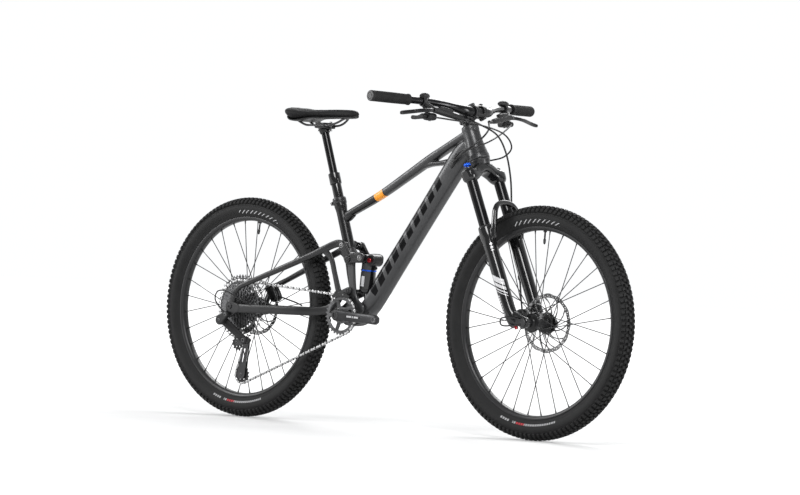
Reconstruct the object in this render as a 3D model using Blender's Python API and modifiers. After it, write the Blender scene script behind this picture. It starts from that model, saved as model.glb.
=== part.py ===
"""Full-suspension mountain bike, built from its separate pieces.

Metres, +Z up, +X the way it travels, +Y to the rider's left. The origin is on the ground, midway
between the two tyres' contact points. Places in the side view are given as (distance ahead of the
rear axle, height), and side() turns them into the model's frame.
"""

from math import atan2, cos, pi, radians, sin, sqrt

import bmesh
import bpy
from mathutils import Matrix, Vector

# ---------------------------------------------------------------- driving dimensions
WHEELBASE = 1.195
TYRE_RADIUS = 0.3515
TYRE_HALF_WIDTH = 0.030
RIM_INNER_RADIUS = 0.2777
RIM_OUTER_RADIUS = 0.2885
WHEEL_STEPS = 32
SPOKES = 32
SPOKE_RADIUS = 0.001

HEAD_ANGLE = radians(66.5)
FORK_OFFSET = 0.044
AXLE_TO_CROWN = 0.535
FORK_TRAVEL = 0.140
LEG_SPACING = 0.065
STANCHION_RADIUS = 0.017
STEERER_RADIUS = 0.0143
HEAD_TUBE_LOW = 0.009
HEAD_TUBE_HIGH = 0.121
STEM_HEIGHT = 0.1525
STEM_LENGTH = 0.043

SEAT_ANGLE = radians(70.8)
SEAT_LINE_FOOT = (0.4985, 0.3457)
SEAT_TUBE_RADIUS = 0.0175
DROPPER_TRAVEL = 0.125

BB = (0.449, 0.3425)
CRANK_LENGTH = 0.165
CRANK_DROOP = radians(2.8)
CHAIN_PITCH = 0.0127
CHAINRING_TEETH = 30
COG_TEETH = 42
CHAINRING_Y = -0.052
COG_Y = -0.036
UPPER_PULLEY = (0.000, 0.236)
UPPER_PULLEY_TEETH = 12
LOWER_PULLEY = (0.023, 0.136)
LOWER_PULLEY_TEETH = 14

ROCKER_PIVOT = (0.4644, 0.5181)
ROCKER_REAR = (0.4358, 0.5601)
ROCKER_FRONT = (0.5130, 0.5230)
LINK_PIVOT = (0.4676, 0.4197)
LINK_REAR = (0.4317, 0.4051)
SHOCK_FOOT = (0.5005, 0.3585)
REAR_SWING_CENTRE = (0.4884, 0.4293)
YOKE_BRIDGE = (0.447, 0.527)
RAIL_HALF = 0.0220
RAIL_HEIGHT = 0.9360
DERAILLEUR_KNUCKLE = (-0.030, 0.3070)
CAGE_PIVOT = (0.044, 0.2460)
LEVER_PIVOT = (0.903, 0.9750)
PADDLE_PIVOT = (0.883, 0.9560)
ARM_INNER = 0.0280
ARM_OUTER = 0.0385
PLATE_INNER = 0.0392
GAP = 0.0003

FRONT_HUB_HALF = 0.0547
REAR_HUB_HALF = 0.0737
ROTOR_Y_FRONT = 0.0400
ROTOR_Y_REAR = 0.0480
ROTOR_RADIUS = 0.090

BAR_RADIUS = 0.0111
CLAMP_RADIUS = 0.0159
# the left half of the handlebar's centre line, from the tip inwards: (y, ahead, height)
BAR_HALF = [
    (0.378, 0.8200, 1.0060),
    (0.238, 0.8530, 1.0030),
    (0.170, 0.8720, 1.0005),
    (0.120, 0.8880, 0.9955),
    (0.085, 0.9020, 0.9885),
    (0.055, 0.9150, 0.9825),
    (0.030, 0.9196, 0.9810),
]
# hoses and cables from the controls: radius, then (ahead, y, height) along each route
CABLE_ROUTES = {
    "front_brake_hose": (
        0.0025,
        [
            (0.925, -0.0600, 0.9540),
            (0.928, -0.0480, 0.9530),
            (0.950, -0.0200, 0.9420),
            (0.985, 0.0200, 0.9130),
            (1.003, 0.0450, 0.8600),
            (1.000, 0.0750, 0.7900),
            (0.993, 0.0935, 0.7200),
            (1.003, 0.0860, 0.6330),
            (1.029, 0.0700, 0.5574),
            (1.061, 0.0650, 0.4842),
            (1.0758, 0.0580, 0.4250),
            (1.0870, 0.0520, 0.3891),
        ],
    ),
    "rear_brake_hose": (
        0.0025,
        [
            (0.925, 0.0600, 0.9540),
            (0.928, 0.0480, 0.9520),
            (0.952, 0.0200, 0.9300),
            (0.966, -0.0250, 0.9020),
            (0.945, -0.0560, 0.8700),
            (0.905, -0.0560, 0.8460),
            (0.880, -0.0420, 0.8340),
            (0.862, -0.0340, 0.8270),
        ],
    ),
    "shift_cable": (
        0.0022,
        [
            (0.903, -0.1780, 0.9540),
            (0.930, -0.1500, 0.9500),
            (0.975, -0.0600, 0.9400),
            (1.008, 0.0200, 0.9180),
            (1.010, 0.0620, 0.8800),
            (0.975, 0.0720, 0.8500),
            (0.930, 0.0560, 0.8360),
            (0.898, 0.0400, 0.8280),
            (0.872, 0.0283, 0.8200),
        ],
    ),
    "dropper_cable": (
        0.0022,
        [
            (0.903, 0.1780, 0.9540),
            (0.930, 0.1500, 0.9480),
            (0.960, 0.0700, 0.9180),
            (0.978, -0.0050, 0.8920),
            (0.962, -0.0620, 0.8680),
            (0.930, -0.0700, 0.8620),
            (0.896, -0.0540, 0.8500),
            (0.868, -0.0337, 0.8370),
        ],
    ),
}

UP = Vector((0, 0, 1))
LEFT = Vector((0, 1, 0))
FORWARD = Vector((1, 0, 0))
STEER_UP = Vector((-cos(HEAD_ANGLE), 0, sin(HEAD_ANGLE)))
STEER_FORWARD = Vector((sin(HEAD_ANGLE), 0, cos(HEAD_ANGLE)))
SEAT_UP = Vector((-cos(SEAT_ANGLE), 0, sin(SEAT_ANGLE)))


# ---------------------------------------------------------------- places
def side(place, y=0.0):
    """A side-view place (ahead of the rear axle, height) as a point of the model."""
    return Vector((place[0] - WHEELBASE / 2, y, place[1]))


REAR_AXLE = (0.0, TYRE_RADIUS)
FRONT_AXLE = (WHEELBASE, TYRE_RADIUS)
CROWN = side(FRONT_AXLE) - STEER_FORWARD * FORK_OFFSET + STEER_UP * AXLE_TO_CROWN


def on_steerer(height, forward=0.0, y=0.0):
    """A point on the steering axis, so far above the crown race and so far ahead of the axis."""
    return CROWN + STEER_UP * height + STEER_FORWARD * forward + LEFT * y


def on_seat_line(distance):
    """A point of the seat tube's axis, so far up from the bottom bracket's height."""
    return side(SEAT_LINE_FOOT) + SEAT_UP * distance


def pitch_radius(teeth):
    return CHAIN_PITCH / (2 * sin(pi / teeth))


# ---------------------------------------------------------------- scene, materials, bodies
for old in list(bpy.data.objects):
    bpy.data.objects.remove(old, do_unlink=True)

PARTS = bpy.data.collections.new("mountain_bike")
CUTTERS = bpy.data.collections.new("cutters")
bpy.context.scene.collection.children.link(PARTS)
bpy.context.scene.collection.children.link(CUTTERS)
CUTTERS.hide_render = True


def material(name, colour, roughness, metallic):
    made = bpy.data.materials.new(name)
    made.use_nodes = True
    shader = made.node_tree.nodes["Principled BSDF"]
    shader.inputs["Base Color"].default_value = (*colour, 1)
    shader.inputs["Roughness"].default_value = roughness
    shader.inputs["Metallic"].default_value = metallic
    made.diffuse_color = (*colour, 1)
    return made


GRAPHITE = material("graphite_paint", (0.085, 0.088, 0.092), 0.45, 0.3)
BLACK_PAINT = material("black_paint", (0.018, 0.018, 0.020), 0.35, 0.1)
GLOSS_BLACK = material("gloss_black", (0.010, 0.010, 0.011), 0.15, 0.0)
BLACK_ALLOY = material("black_alloy", (0.022, 0.022, 0.024), 0.35, 0.7)
RUBBER = material("tyre_rubber", (0.022, 0.022, 0.022), 0.85, 0.0)
GRIP_RUBBER = material("grip_rubber", (0.030, 0.030, 0.031), 0.80, 0.0)
STEEL = material("steel", (0.55, 0.55, 0.56), 0.30, 1.0)
SPOKE_STEEL = material("spoke_steel", (0.16, 0.16, 0.17), 0.35, 1.0)
DARK_STEEL = material("dark_steel", (0.12, 0.12, 0.125), 0.40, 1.0)
CHAIN_STEEL = material("chain_steel", (0.38, 0.38, 0.39), 0.35, 1.0)
PLASTIC = material("black_plastic", (0.025, 0.025, 0.026), 0.55, 0.0)
SADDLE_COVER = material("saddle_cover", (0.020, 0.020, 0.021), 0.70, 0.0)
HOSE = material("black_hose", (0.016, 0.016, 0.017), 0.45, 0.0)
BLUE = material("blue_anodised", (0.02, 0.09, 0.45), 0.25, 0.9)


def axis_empty(name, point, parent=None):
    """An empty on a joint's axis, which carries the pieces of the body that turns or slides there."""
    empty = bpy.data.objects.new(name, None)
    empty.empty_display_size = 0.03
    PARTS.objects.link(empty)
    empty.matrix_world = Matrix.Translation(point)
    if parent:
        attach(empty, parent)
    return empty


def attach(piece, parent):
    bpy.context.view_layer.update()
    piece.parent = parent
    piece.matrix_parent_inverse = parent.matrix_world.inverted()


def add(name, data, finish, parent=None):
    """A new piece, or a cutter where finish is None."""
    piece = bpy.data.objects.new(name, data)
    if finish is None:
        CUTTERS.objects.link(piece)
        piece.hide_render = True
        piece.display_type = "WIRE"
        return piece
    PARTS.objects.link(piece)
    data.materials.append(finish)
    if parent:
        attach(piece, parent)
    return piece


# ---------------------------------------------------------------- shapes
def turned(name, profile, centre, axis, finish, parent=None, steps=16, ring=False, start=None):
    """A turned piece. The profile is (radius, height along the axis), down the outer side first."""
    mesh = bpy.data.meshes.new(name)
    edges = [(i, i + 1) for i in range(len(profile) - 1)]
    if ring:
        edges.append((len(profile) - 1, 0))
    mesh.from_pydata([(radius, 0.0, height) for radius, height in profile], edges, [])
    piece = add(name, mesh, finish)
    screw = piece.modifiers.new("turn", "SCREW")
    screw.steps = screw.render_steps = steps
    screw.use_merge_vertices = True
    screw.merge_threshold = 0.00001
    z = Vector(axis).normalized()
    x = Vector(start) if start else (UP if abs(z.z) < 0.7 else LEFT)
    x = (x - z * x.dot(z)).normalized()
    y = z.cross(x)
    piece.matrix_world = Matrix.Translation(centre) @ Matrix((x, y, z)).transposed().to_4x4()
    if parent:
        attach(piece, parent)
    return piece


def rod(name, start, end, radius, finish, parent=None, steps=12):
    """A plain round bar between two points."""
    start, end = Vector(start), Vector(end)
    length = (end - start).length
    profile = [(0, length), (radius, length), (radius, 0), (0, 0)]
    return turned(name, profile, start, end - start, finish, parent, steps)


def pipe(name, start, end, outer, inner, finish, parent=None, steps=16):
    """A plain round pipe between two points."""
    start, end = Vector(start), Vector(end)
    length = (end - start).length
    profile = [(outer, length), (outer, 0), (inner, 0), (inner, length)]
    return turned(name, profile, start, end - start, finish, parent, steps, ring=True)


def box(name, centre, size, finish, parent=None, turn=None, bevel=0.0):
    """A block with its edges rounded by bevel, turned by the matrix turn about its centre."""
    bm = bmesh.new()
    bmesh.ops.create_cube(bm, size=1.0, matrix=Matrix.Diagonal((*size, 1)))
    mesh = bpy.data.meshes.new(name)
    bm.to_mesh(mesh)
    bm.free()
    piece = add(name, mesh, finish)
    piece.matrix_world = Matrix.Translation(centre) @ (turn.to_4x4() if turn else Matrix())
    if bevel:
        rounded = piece.modifiers.new("rounded edges", "BEVEL")
        rounded.width = bevel
        rounded.segments = 1
    if parent:
        attach(piece, parent)
    return piece


def smooth(points, step):
    """Points every step or so along a smooth curve through the given ones."""
    knots = [Vector(p) for p in points]
    knots = [knots[0] * 2 - knots[1], *knots, knots[-1] * 2 - knots[-2]]
    out = []
    for a, b, c, d in zip(knots, knots[1:], knots[2:], knots[3:]):
        count = max(1, round((c - b).length / step))
        for i in range(count):
            t = i / count
            out.append(
                b
                + (c - a) * (t / 2)
                + (a * 2 - b * 5 + c * 4 - d) * (t * t / 2)
                + (b * 3 - a - c * 3 + d) * (t * t * t / 2)
            )
    out.append(knots[-2])
    return out


def tube(name, points, radius, finish, parent=None, radii=None, resolution=2, closed=False):
    """A round bar along the points, whose radius may change from point to point."""
    curve = bpy.data.curves.new(name, "CURVE")
    curve.dimensions = "3D"
    curve.bevel_depth = radius
    curve.bevel_resolution = resolution
    curve.use_fill_caps = True
    spline = curve.splines.new("POLY")
    spline.points.add(len(points) - 1)
    for i, point in enumerate(points):
        spline.points[i].co = (*point, 1)
        if radii:
            spline.points[i].radius = radii[i] / radius
    spline.use_cyclic_u = closed
    return add(name, curve, finish, parent)


def as_mesh(curve_object):
    """The same piece as a welded mesh, so that it can be cut or joined."""
    graph = bpy.context.evaluated_depsgraph_get()
    mesh = bpy.data.meshes.new_from_object(curve_object.evaluated_get(graph))
    bm = bmesh.new()
    bm.from_mesh(mesh)
    bmesh.ops.remove_doubles(bm, verts=bm.verts, dist=0.000002)
    bmesh.ops.recalc_face_normals(bm, faces=bm.faces)
    bm.to_mesh(mesh)
    bm.free()
    name, parent, matrix = curve_object.name, curve_object.parent, curve_object.matrix_world.copy()
    is_cutter = curve_object.hide_render
    bpy.data.objects.remove(curve_object)
    piece = bpy.data.objects.new(name, mesh)
    (CUTTERS if is_cutter else PARTS).objects.link(piece)
    piece.hide_render = is_cutter
    piece.display_type = "WIRE" if is_cutter else "TEXTURED"
    piece.matrix_world = matrix
    if parent:
        attach(piece, parent)
    return piece


def hull_outline(circles, steps=20):
    """The outline round a set of circles (x, z, radius), as a tight belt would lie."""
    points = sorted(
        (x + r * cos(2 * pi * i / steps), z + r * sin(2 * pi * i / steps))
        for x, z, r in circles
        for i in range(steps)
    )

    def half(ordered):
        chain = []
        for p in ordered:
            while len(chain) > 1:
                (ax, az), (bx, bz) = chain[-2], chain[-1]
                if (bx - ax) * (p[1] - az) - (bz - az) * (p[0] - ax) > 1e-9:
                    break
                chain.pop()
            chain.append(p)
        return chain[:-1]

    return half(points) + half(points[::-1])


def ribbon_outline(stations):
    """The outline of a flat strip along stations (x, z, half width), with round ends."""
    left, right = [], []
    for i, (x, z, w) in enumerate(stations):
        before, after = stations[max(i - 1, 0)], stations[min(i + 1, len(stations) - 1)]
        along = Vector((after[0] - before[0], after[1] - before[1])).normalized()
        left.append((x - along.y * w, z + along.x * w))
        right.append((x + along.y * w, z - along.x * w))

    def cap(station, first):
        angle = atan2(first[1] - station[1], first[0] - station[0])
        return [
            (
                station[0] + station[2] * cos(angle - pi * k / 5),
                station[1] + station[2] * sin(angle - pi * k / 5),
            )
            for k in range(1, 5)
        ]

    return (
        left
        + cap(stations[-1], left[-1])
        + right[::-1]
        + cap(stations[0], right[0])
    )


def plate(name, outline, y_low, y_high, finish, parent=None):
    """A flat piece across the bike: an outline in the side view, from y_low to y_high."""
    curve = bpy.data.curves.new(name, "CURVE")
    curve.dimensions = "2D"
    curve.fill_mode = "BOTH"
    curve.extrude = (y_high - y_low) / 2
    spline = curve.splines.new("POLY")
    spline.points.add(len(outline) - 1)
    for point, (x, z) in zip(spline.points, outline):
        point.co = (x - WHEELBASE / 2, z, 0, 1)
    spline.use_cyclic_u = True
    piece = add(name, curve, finish)
    piece.matrix_world = Matrix.Translation((0, (y_low + y_high) / 2, 0)) @ Matrix.Rotation(
        pi / 2, 4, "X"
    )
    piece = as_mesh(piece)
    if parent:
        attach(piece, parent)
    return piece


def loft(name, stations, finish, parent=None, power=2.4, count=12, across=LEFT):
    """A solid skinned over oval stations (point, half width, half height)."""
    bm = bmesh.new()
    rings = []
    for i, (point, half_width, half_height) in enumerate(stations):
        before = stations[max(i - 1, 0)][0]
        after = stations[min(i + 1, len(stations) - 1)][0]
        along = (Vector(after) - Vector(before)).normalized()
        width = (across - along * across.dot(along)).normalized()
        height = width.cross(along)
        ring = []
        for k in range(count):
            angle = 2 * pi * k / count
            c, s = cos(angle), sin(angle)
            scale = (abs(c) ** power + abs(s) ** power) ** (-1 / power)
            offset = width * (c * scale * half_width) + height * (s * scale * half_height)
            ring.append(bm.verts.new(Vector(point) + offset))
        rings.append(ring)
    for a, b in zip(rings, rings[1:]):
        for k in range(count):
            bm.faces.new((a[k], a[(k + 1) % count], b[(k + 1) % count], b[k]))
    bm.faces.new(rings[0][::-1])
    bm.faces.new(rings[-1])
    bmesh.ops.recalc_face_normals(bm, faces=bm.faces)
    mesh = bpy.data.meshes.new(name)
    bm.to_mesh(mesh)
    bm.free()
    return add(name, mesh, finish, parent)


def combine(piece, operation, others):
    """Joins the others to the piece, or cuts them from it."""
    for other in others:
        boolean = piece.modifiers.new(operation.lower() + " " + other.name, "BOOLEAN")
        boolean.operation = operation
        boolean.object = other
    return piece


def cut(piece, *cutters):
    return combine(piece, "DIFFERENCE", cutters)


def join(piece, *others):
    return combine(piece, "UNION", others)


# ---------------------------------------------------------------- joint axes
frame = axis_empty("frame_origin", (0, 0, 0))
seatpost_slide = axis_empty("seatpost_slide", on_seat_line(0.465), frame)
rear_swing = axis_empty("rear_swing", side(REAR_SWING_CENTRE), frame)
link_axis = axis_empty("lower_link_axis", side(LINK_PIVOT), frame)
rocker_axis = axis_empty("rocker_axis", side(ROCKER_PIVOT), frame)
shock_axis = axis_empty("shock_axis", side(ROCKER_FRONT), rocker_axis)
shaft_slide = axis_empty("shock_shaft_slide", side(SHOCK_FOOT), shock_axis)
rear_axis = axis_empty("rear_wheel_axis", side(REAR_AXLE), rear_swing)
cassette_axis = axis_empty("cassette_axis", side(REAR_AXLE), rear_swing)
arm_axis = axis_empty("derailleur_arm_axis", side(DERAILLEUR_KNUCKLE, -0.0800), rear_swing)
cage_axis = axis_empty("derailleur_cage_axis", side(CAGE_PIVOT, COG_Y), arm_axis)
upper_pulley_axis = axis_empty("upper_pulley_axis", side(UPPER_PULLEY, COG_Y), cage_axis)
lower_pulley_axis = axis_empty("lower_pulley_axis", side(LOWER_PULLEY, COG_Y), cage_axis)
crank_axis = axis_empty("crank_axis", side(BB), frame)
steering = axis_empty("steering_axis", CROWN, frame)
fork_slide = axis_empty("fork_slide", on_steerer(-0.21), steering)
front_axis = axis_empty("front_wheel_axis", side(FRONT_AXLE), fork_slide)
knob_axis = axis_empty("compression_knob_axis", on_steerer(-0.02, 0, -LEG_SPACING), steering)
lever_axis = {
    "right": axis_empty("brake_lever_right_axis", side(LEVER_PIVOT, -0.190), steering),
    "left": axis_empty("brake_lever_left_axis", side(LEVER_PIVOT, 0.190), steering),
}
shift_axis = axis_empty("shift_lever_axis", side(PADDLE_PIVOT, -0.206), steering)
remote_axis = axis_empty("dropper_lever_axis", side(PADDLE_PIVOT, 0.206), steering)


# ---------------------------------------------------------------- frame
def make_head_tube():
    """Tapered tube round the steerer, flared at its lower end."""
    profile = [
        (0.0265, HEAD_TUBE_HIGH),
        (0.0265, 0.108),
        (0.0250, 0.100),
        (0.0300, 0.040),
        (0.0335, 0.026),
        (0.0335, HEAD_TUBE_LOW),
        (0.0235, HEAD_TUBE_LOW),
        (0.0200, 0.060),
        (0.0180, HEAD_TUBE_HIGH),
    ]
    turned("head_tube", profile, CROWN, STEER_UP, GRAPHITE, frame, 24, ring=True)
    profile = [(0, 0.14), (0.0268, 0.14), (0.0268, 0.1), (0.0303, 0.04), (0.0338, 0.026)]
    profile += [(0.0338, -0.02), (0, -0.02)]
    return turned("head_tube_clearance", profile, CROWN, STEER_UP, None, steps=24)


def make_down_tube(head_clearance):
    """Oval tube from the head tube to the bottom bracket, with the pocket for the shock's foot."""
    stations = [
        (side((0.905, 0.880)), 0.024, 0.030),
        (side((0.870, 0.846)), 0.026, 0.034),
        (side((0.830, 0.793)), 0.027, 0.0315),
        (side((0.740, 0.669)), 0.0275, 0.030),
        (side((0.620, 0.504)), 0.0275, 0.030),
        (side((0.548, 0.405)), 0.0275, 0.031),
        (side((0.520, 0.371)), 0.0275, 0.030),
        (side((0.490, 0.348)), 0.0270, 0.027),
        (side((0.455, 0.340)), 0.0265, 0.022),
    ]
    tube_body = loft("down_tube", stations, GRAPHITE, frame, power=3.0, count=16)
    shell = rod("bottom_bracket_shell", side(BB, -0.0365), side(BB, 0.0365), 0.0235, None, steps=20)
    bore = rod("bottom_bracket_bore", side(BB, -0.06), side(BB, 0.06), 0.0160, None, steps=20)
    room = [
        (0.5025, 0.3585, 0.0175),
        (0.5045, 0.3910, 0.0270),
        (0.5185, 0.4000, 0.0300),
        (0.5185, 0.4700, 0.0370),
    ]
    pocket = plate("shock_pocket", hull_outline(room), -0.0250, 0.0250, None)
    port_turn = Matrix.Rotation(radians(-50), 3, "Y")
    port_place = side((0.8640, 0.8330), -0.0245)
    port = box("cable_port", port_place, (0.034, 0.012, 0.018), None, turn=port_turn, bevel=0.003)
    join(tube_body, shell, port)
    cut(tube_body, bore, pocket, head_clearance)


def make_top_tube(head_clearance):
    """Slim tube from the seat tube to the head tube, with the strut that forks off to its underside."""
    stations = [
        (side((0.399, 0.6480)), 0.014, 0.0135),
        (side((0.430, 0.6630)), 0.015, 0.0135),
        (side((0.545, 0.7185)), 0.016, 0.0145),
        (side((0.650, 0.7790)), 0.017, 0.0150),
        (side((0.745, 0.8350)), 0.020, 0.0150),
        (side((0.800, 0.8650)), 0.021, 0.0125),
        (side((0.895, 0.9150)), 0.022, 0.0125),
    ]
    top = loft("top_tube", stations, GRAPHITE, frame, power=2.6)
    stations = [
        (side((0.700, 0.8060)), 0.012, 0.007),
        (side((0.745, 0.8190)), 0.016, 0.008),
        (side((0.790, 0.8240)), 0.017, 0.008),
        (side((0.826, 0.8300)), 0.017, 0.009),
    ]
    strut = loft("top_tube_strut", stations, None)
    start, end = on_seat_line(0.1), on_seat_line(0.6)
    seat_clearance = rod("seat_tube_clearance", start, end, SEAT_TUBE_RADIUS + GAP, None, steps=16)
    down_clearance = loft(
        "down_tube_clearance",
        [
            (side((0.905, 0.880)), 0.0243, 0.0303),
            (side((0.870, 0.846)), 0.0263, 0.0343),
            (side((0.830, 0.793)), 0.0273, 0.0318),
            (side((0.740, 0.669)), 0.0278, 0.0303),
        ],
        None,
        power=3.0,
        count=16,
    )
    join(top, strut)
    cut(top, seat_clearance, head_clearance, down_clearance)


def make_seat_tube():
    """Tube that holds the seatpost, ending on the bridge of the shock yoke."""
    seat = pipe(
        "seat_tube",
        on_seat_line(0.203),
        on_seat_line(0.375),
        SEAT_TUBE_RADIUS,
        0.0158,
        BLACK_PAINT,
        frame,
    )
    bridge = rod("yoke_bridge_clearance", side(YOKE_BRIDGE, -0.05), side(YOKE_BRIDGE, 0.05), 0.0143, None)
    cut(seat, bridge)
    collar_profile = [(0.0215, 0.382), (0.0215, 0.366), (0.0178, 0.366), (0.0178, 0.3757)]
    collar_profile += [(0.0163, 0.3757), (0.0163, 0.382)]
    collar = turned(
        "seat_clamp", collar_profile, on_seat_line(0), SEAT_UP, BLACK_ALLOY, frame, ring=True
    )
    turn = Matrix.Rotation(SEAT_ANGLE - pi / 2, 3, "Y")
    ear_place = on_seat_line(0.3740) + turn @ Vector((-0.0245, 0, 0))
    ear = box("seat_clamp_ear", ear_place, (0.0110, 0.0170, 0.0120), None, turn=turn)
    join(collar, ear)


def make_shock_yoke():
    """The two arms that rise either side of the shock, joined by a bridge under the seat tube."""
    stations = [
        (0.512, 0.366, 0.0170),
        (0.490, 0.384, 0.0160),
        (0.478, 0.415, 0.0150),
        (0.473, 0.455, 0.0135),
        (0.468, 0.495, 0.0145),
        (*ROCKER_PIVOT, 0.0155),
        (*YOKE_BRIDGE, 0.0120),
    ]
    outline = ribbon_outline(stations)
    right = plate("shock_yoke", outline, -ARM_OUTER, -ARM_INNER, GRAPHITE, frame)
    left = plate("shock_yoke_left_arm", outline, ARM_INNER, ARM_OUTER, None)
    bridge = rod("yoke_bridge", side(YOKE_BRIDGE, -0.034), side(YOKE_BRIDGE, 0.034), 0.0140, None)
    upper_bore = rod("rocker_bore", side(ROCKER_PIVOT, -0.06), side(ROCKER_PIVOT, 0.06), 0.0063, None)
    lower_bore = rod("link_bore", side(LINK_PIVOT, -0.06), side(LINK_PIVOT, 0.06), 0.0063, None)
    join(right, left, bridge)
    cut(right, upper_bore, lower_bore)
    pin_profile = [(0, 0.0535), (0.0095, 0.0535), (0.0095, 0.0512), (0.0060, 0.0512)]
    pin_profile += [(0.0060, -0.0512), (0.0095, -0.0512), (0.0095, -0.0535), (0, -0.0535)]
    turned("rocker_axle", pin_profile, side(ROCKER_PIVOT), LEFT, BLACK_ALLOY, frame, 16)


# ---------------------------------------------------------------- seatpost and saddle
def make_seatpost():
    profile = [(0.0185, 0.465), (0.0185, 0.430), (0.0155, 0.428), (0.0155, 0.235)]
    profile += [(0.0128, 0.235), (0.0128, 0.465)]
    turned("dropper_outer", profile, on_seat_line(0), SEAT_UP, GLOSS_BLACK, frame, ring=True)
    profile = [(0, 0.618), (0.0125, 0.618), (0.0125, 0.370), (0, 0.370)]
    turned("dropper_post", profile, on_seat_line(0), SEAT_UP, GLOSS_BLACK, seatpost_slide)
    clamp_size = (0.044, 0.056, 0.020)
    clamp = box("saddle_clamp", side((0.299, 0.9345)), clamp_size, BLACK_ALLOY, seatpost_slide, bevel=0.003)
    grooves = [
        rod(f"rail_groove_{name}", side((0.25, RAIL_HEIGHT), y), side((0.35, RAIL_HEIGHT), y), 0.0042, None)
        for name, y in (("right", -RAIL_HALF), ("left", RAIL_HALF))
    ]
    post_clearance = rod("post_clearance", on_seat_line(0.5), on_seat_line(0.6183), 0.0128, None, steps=16)
    cut(clamp, *grooves, post_clearance)


def make_saddle():
    half = [
        (0.196, -0.030, 0.9570),
        (0.212, -0.025, 0.9480),
        (0.236, -RAIL_HALF, 0.9370),
        (0.262, -RAIL_HALF, RAIL_HEIGHT),
        (0.298, -RAIL_HALF, RAIL_HEIGHT),
        (0.334, -RAIL_HALF, RAIL_HEIGHT),
        (0.362, -0.017, 0.9430),
        (0.386, -0.010, 0.9550),
        (0.391, 0.000, 0.9560),
    ]
    points = half + [(x, -y, z) for x, y, z in half[-2::-1]]
    smoothed = smooth([side((x, z), y) for x, y, z in points], 0.012)
    tube("saddle_rails", smoothed, 0.0035, DARK_STEEL, seatpost_slide)
    stations = [
        (side((0.166, 0.9830)), 0.036, 0.0060),
        (side((0.172, 0.9800)), 0.060, 0.0120),
        (side((0.190, 0.9760)), 0.069, 0.0145),
        (side((0.225, 0.9740)), 0.0655, 0.0145),
        (side((0.265, 0.9730)), 0.050, 0.0130),
        (side((0.310, 0.9735)), 0.034, 0.0125),
        (side((0.360, 0.9735)), 0.023, 0.0125),
        (side((0.405, 0.9740)), 0.019, 0.0120),
        (side((0.428, 0.9730)), 0.015, 0.0100),
        (side((0.438, 0.9720)), 0.008, 0.0060),
    ]
    loft("saddle", stations, SADDLE_COVER, seatpost_slide, power=2.6, count=16)


# ---------------------------------------------------------------- rear suspension
def make_stays():
    """Right and left halves of the rear triangle, with the cross brace on the left one."""
    for name, y_sign in (("stay_right", -1), ("stay_left", 1)):
        def at(place, y):
            return side(place, y_sign * y)

        chainstay = [
            (at((0.004, 0.3470), 0.0800), 0.0050, 0.0160),
            (at((0.040, 0.3470), 0.0790), 0.0050, 0.0140),
            (at((0.120, 0.3475), 0.0730), 0.0070, 0.0135),
            (at((0.260, 0.3485), 0.0570), 0.0080, 0.0135),
            (at((0.330, 0.3500), 0.0440), 0.0060, 0.0135),
            (at((0.378, 0.3580), 0.0365), 0.0050, 0.0135),
            (at((0.408, 0.3790), 0.0336), 0.0050, 0.0135),
            (at((0.4290, 0.4020), 0.0333), 0.0050, 0.0110),
        ]
        piece = loft(name, chainstay, BLACK_PAINT, rear_swing, power=3.0)
        seatstay = [
            (at((0.000, 0.3560), 0.0800), 0.0048, 0.0130),
            (at((0.012, 0.3850), 0.0800), 0.0048, 0.0100),
            (at((0.030, 0.4120), 0.0790), 0.0055, 0.0080),
            (at((0.075, 0.4320), 0.0740), 0.0060, 0.0080),
            (at((0.180, 0.4740), 0.0600), 0.0070, 0.0090),
            (at((0.290, 0.5180), 0.0480), 0.0075, 0.0100),
            (at((0.350, 0.5430), 0.0430), 0.0070, 0.0110),
            (at((0.390, 0.5610), 0.0360), 0.0055, 0.0120),
            (at((0.412, 0.5660), 0.0335), 0.0050, 0.0120),
            (at((0.4325, 0.5612), 0.0333), 0.0050, 0.0100),
        ]
        upper = loft(name + "_seatstay", seatstay, None, power=2.6)
        strut = [
            (at((0.350, 0.5460), 0.0420), 0.0050, 0.0100),
            (at((0.383, 0.5200), 0.0375), 0.0045, 0.0095),
            (at((0.400, 0.4700), 0.0345), 0.0045, 0.0095),
            (at((0.417, 0.4200), 0.0335), 0.0045, 0.0105),
            (at((0.4285, 0.4060), 0.0334), 0.0046, 0.0105),
        ]
        brace = loft(name + "_strut", strut, None)
        hanger = [(-0.004, 0.3250, 0.0090)] if y_sign < 0 else []
        dropout = plate(
            name + "_dropout",
            hull_outline([(*REAR_AXLE, 0.0190), (0.030, 0.348, 0.013)] + hanger),
            *sorted((y_sign * 0.0742, y_sign * 0.0850)),
            None,
        )
        ends = [
            rod(f"{name}_{label}_boss", at(place, ARM_INNER), at(place, ARM_OUTER), 0.0126, None, steps=16)
            for label, place in (("upper", ROCKER_REAR), ("lower", LINK_REAR))
        ]
        join(piece, upper, brace, dropout, *ends)
        if name == "stay_left":
            cross_place = (0.402, 0.408)
            cross = rod("stay_cross", side(cross_place, -0.0280), side(cross_place, 0.0345), 0.0095, None)
            join(piece, cross)
        axle_bore = rod(name + "_axle_bore", at(REAR_AXLE, 0.06), at(REAR_AXLE, 0.1), 0.0065, None)
        link_bore = rod(name + "_link_bore", at(LINK_REAR, 0.02), at(LINK_REAR, 0.05), 0.0082, None)
        rocker_bore = rod(name + "_rocker_bore", at(ROCKER_REAR, 0.02), at(ROCKER_REAR, 0.05), 0.0082, None)
        cut(piece, axle_bore, link_bore, rocker_bore)
    profile = [(0, 0.0900), (0.0100, 0.0900), (0.0100, 0.0855), (0.0060, 0.0855)]
    profile += [(0.0060, -0.0850), (0.0085, -0.0855), (0.0085, -0.0875), (0, -0.0875)]
    turned("rear_axle", profile, side(REAR_AXLE), LEFT, BLACK_ALLOY, rear_swing, 16)


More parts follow.
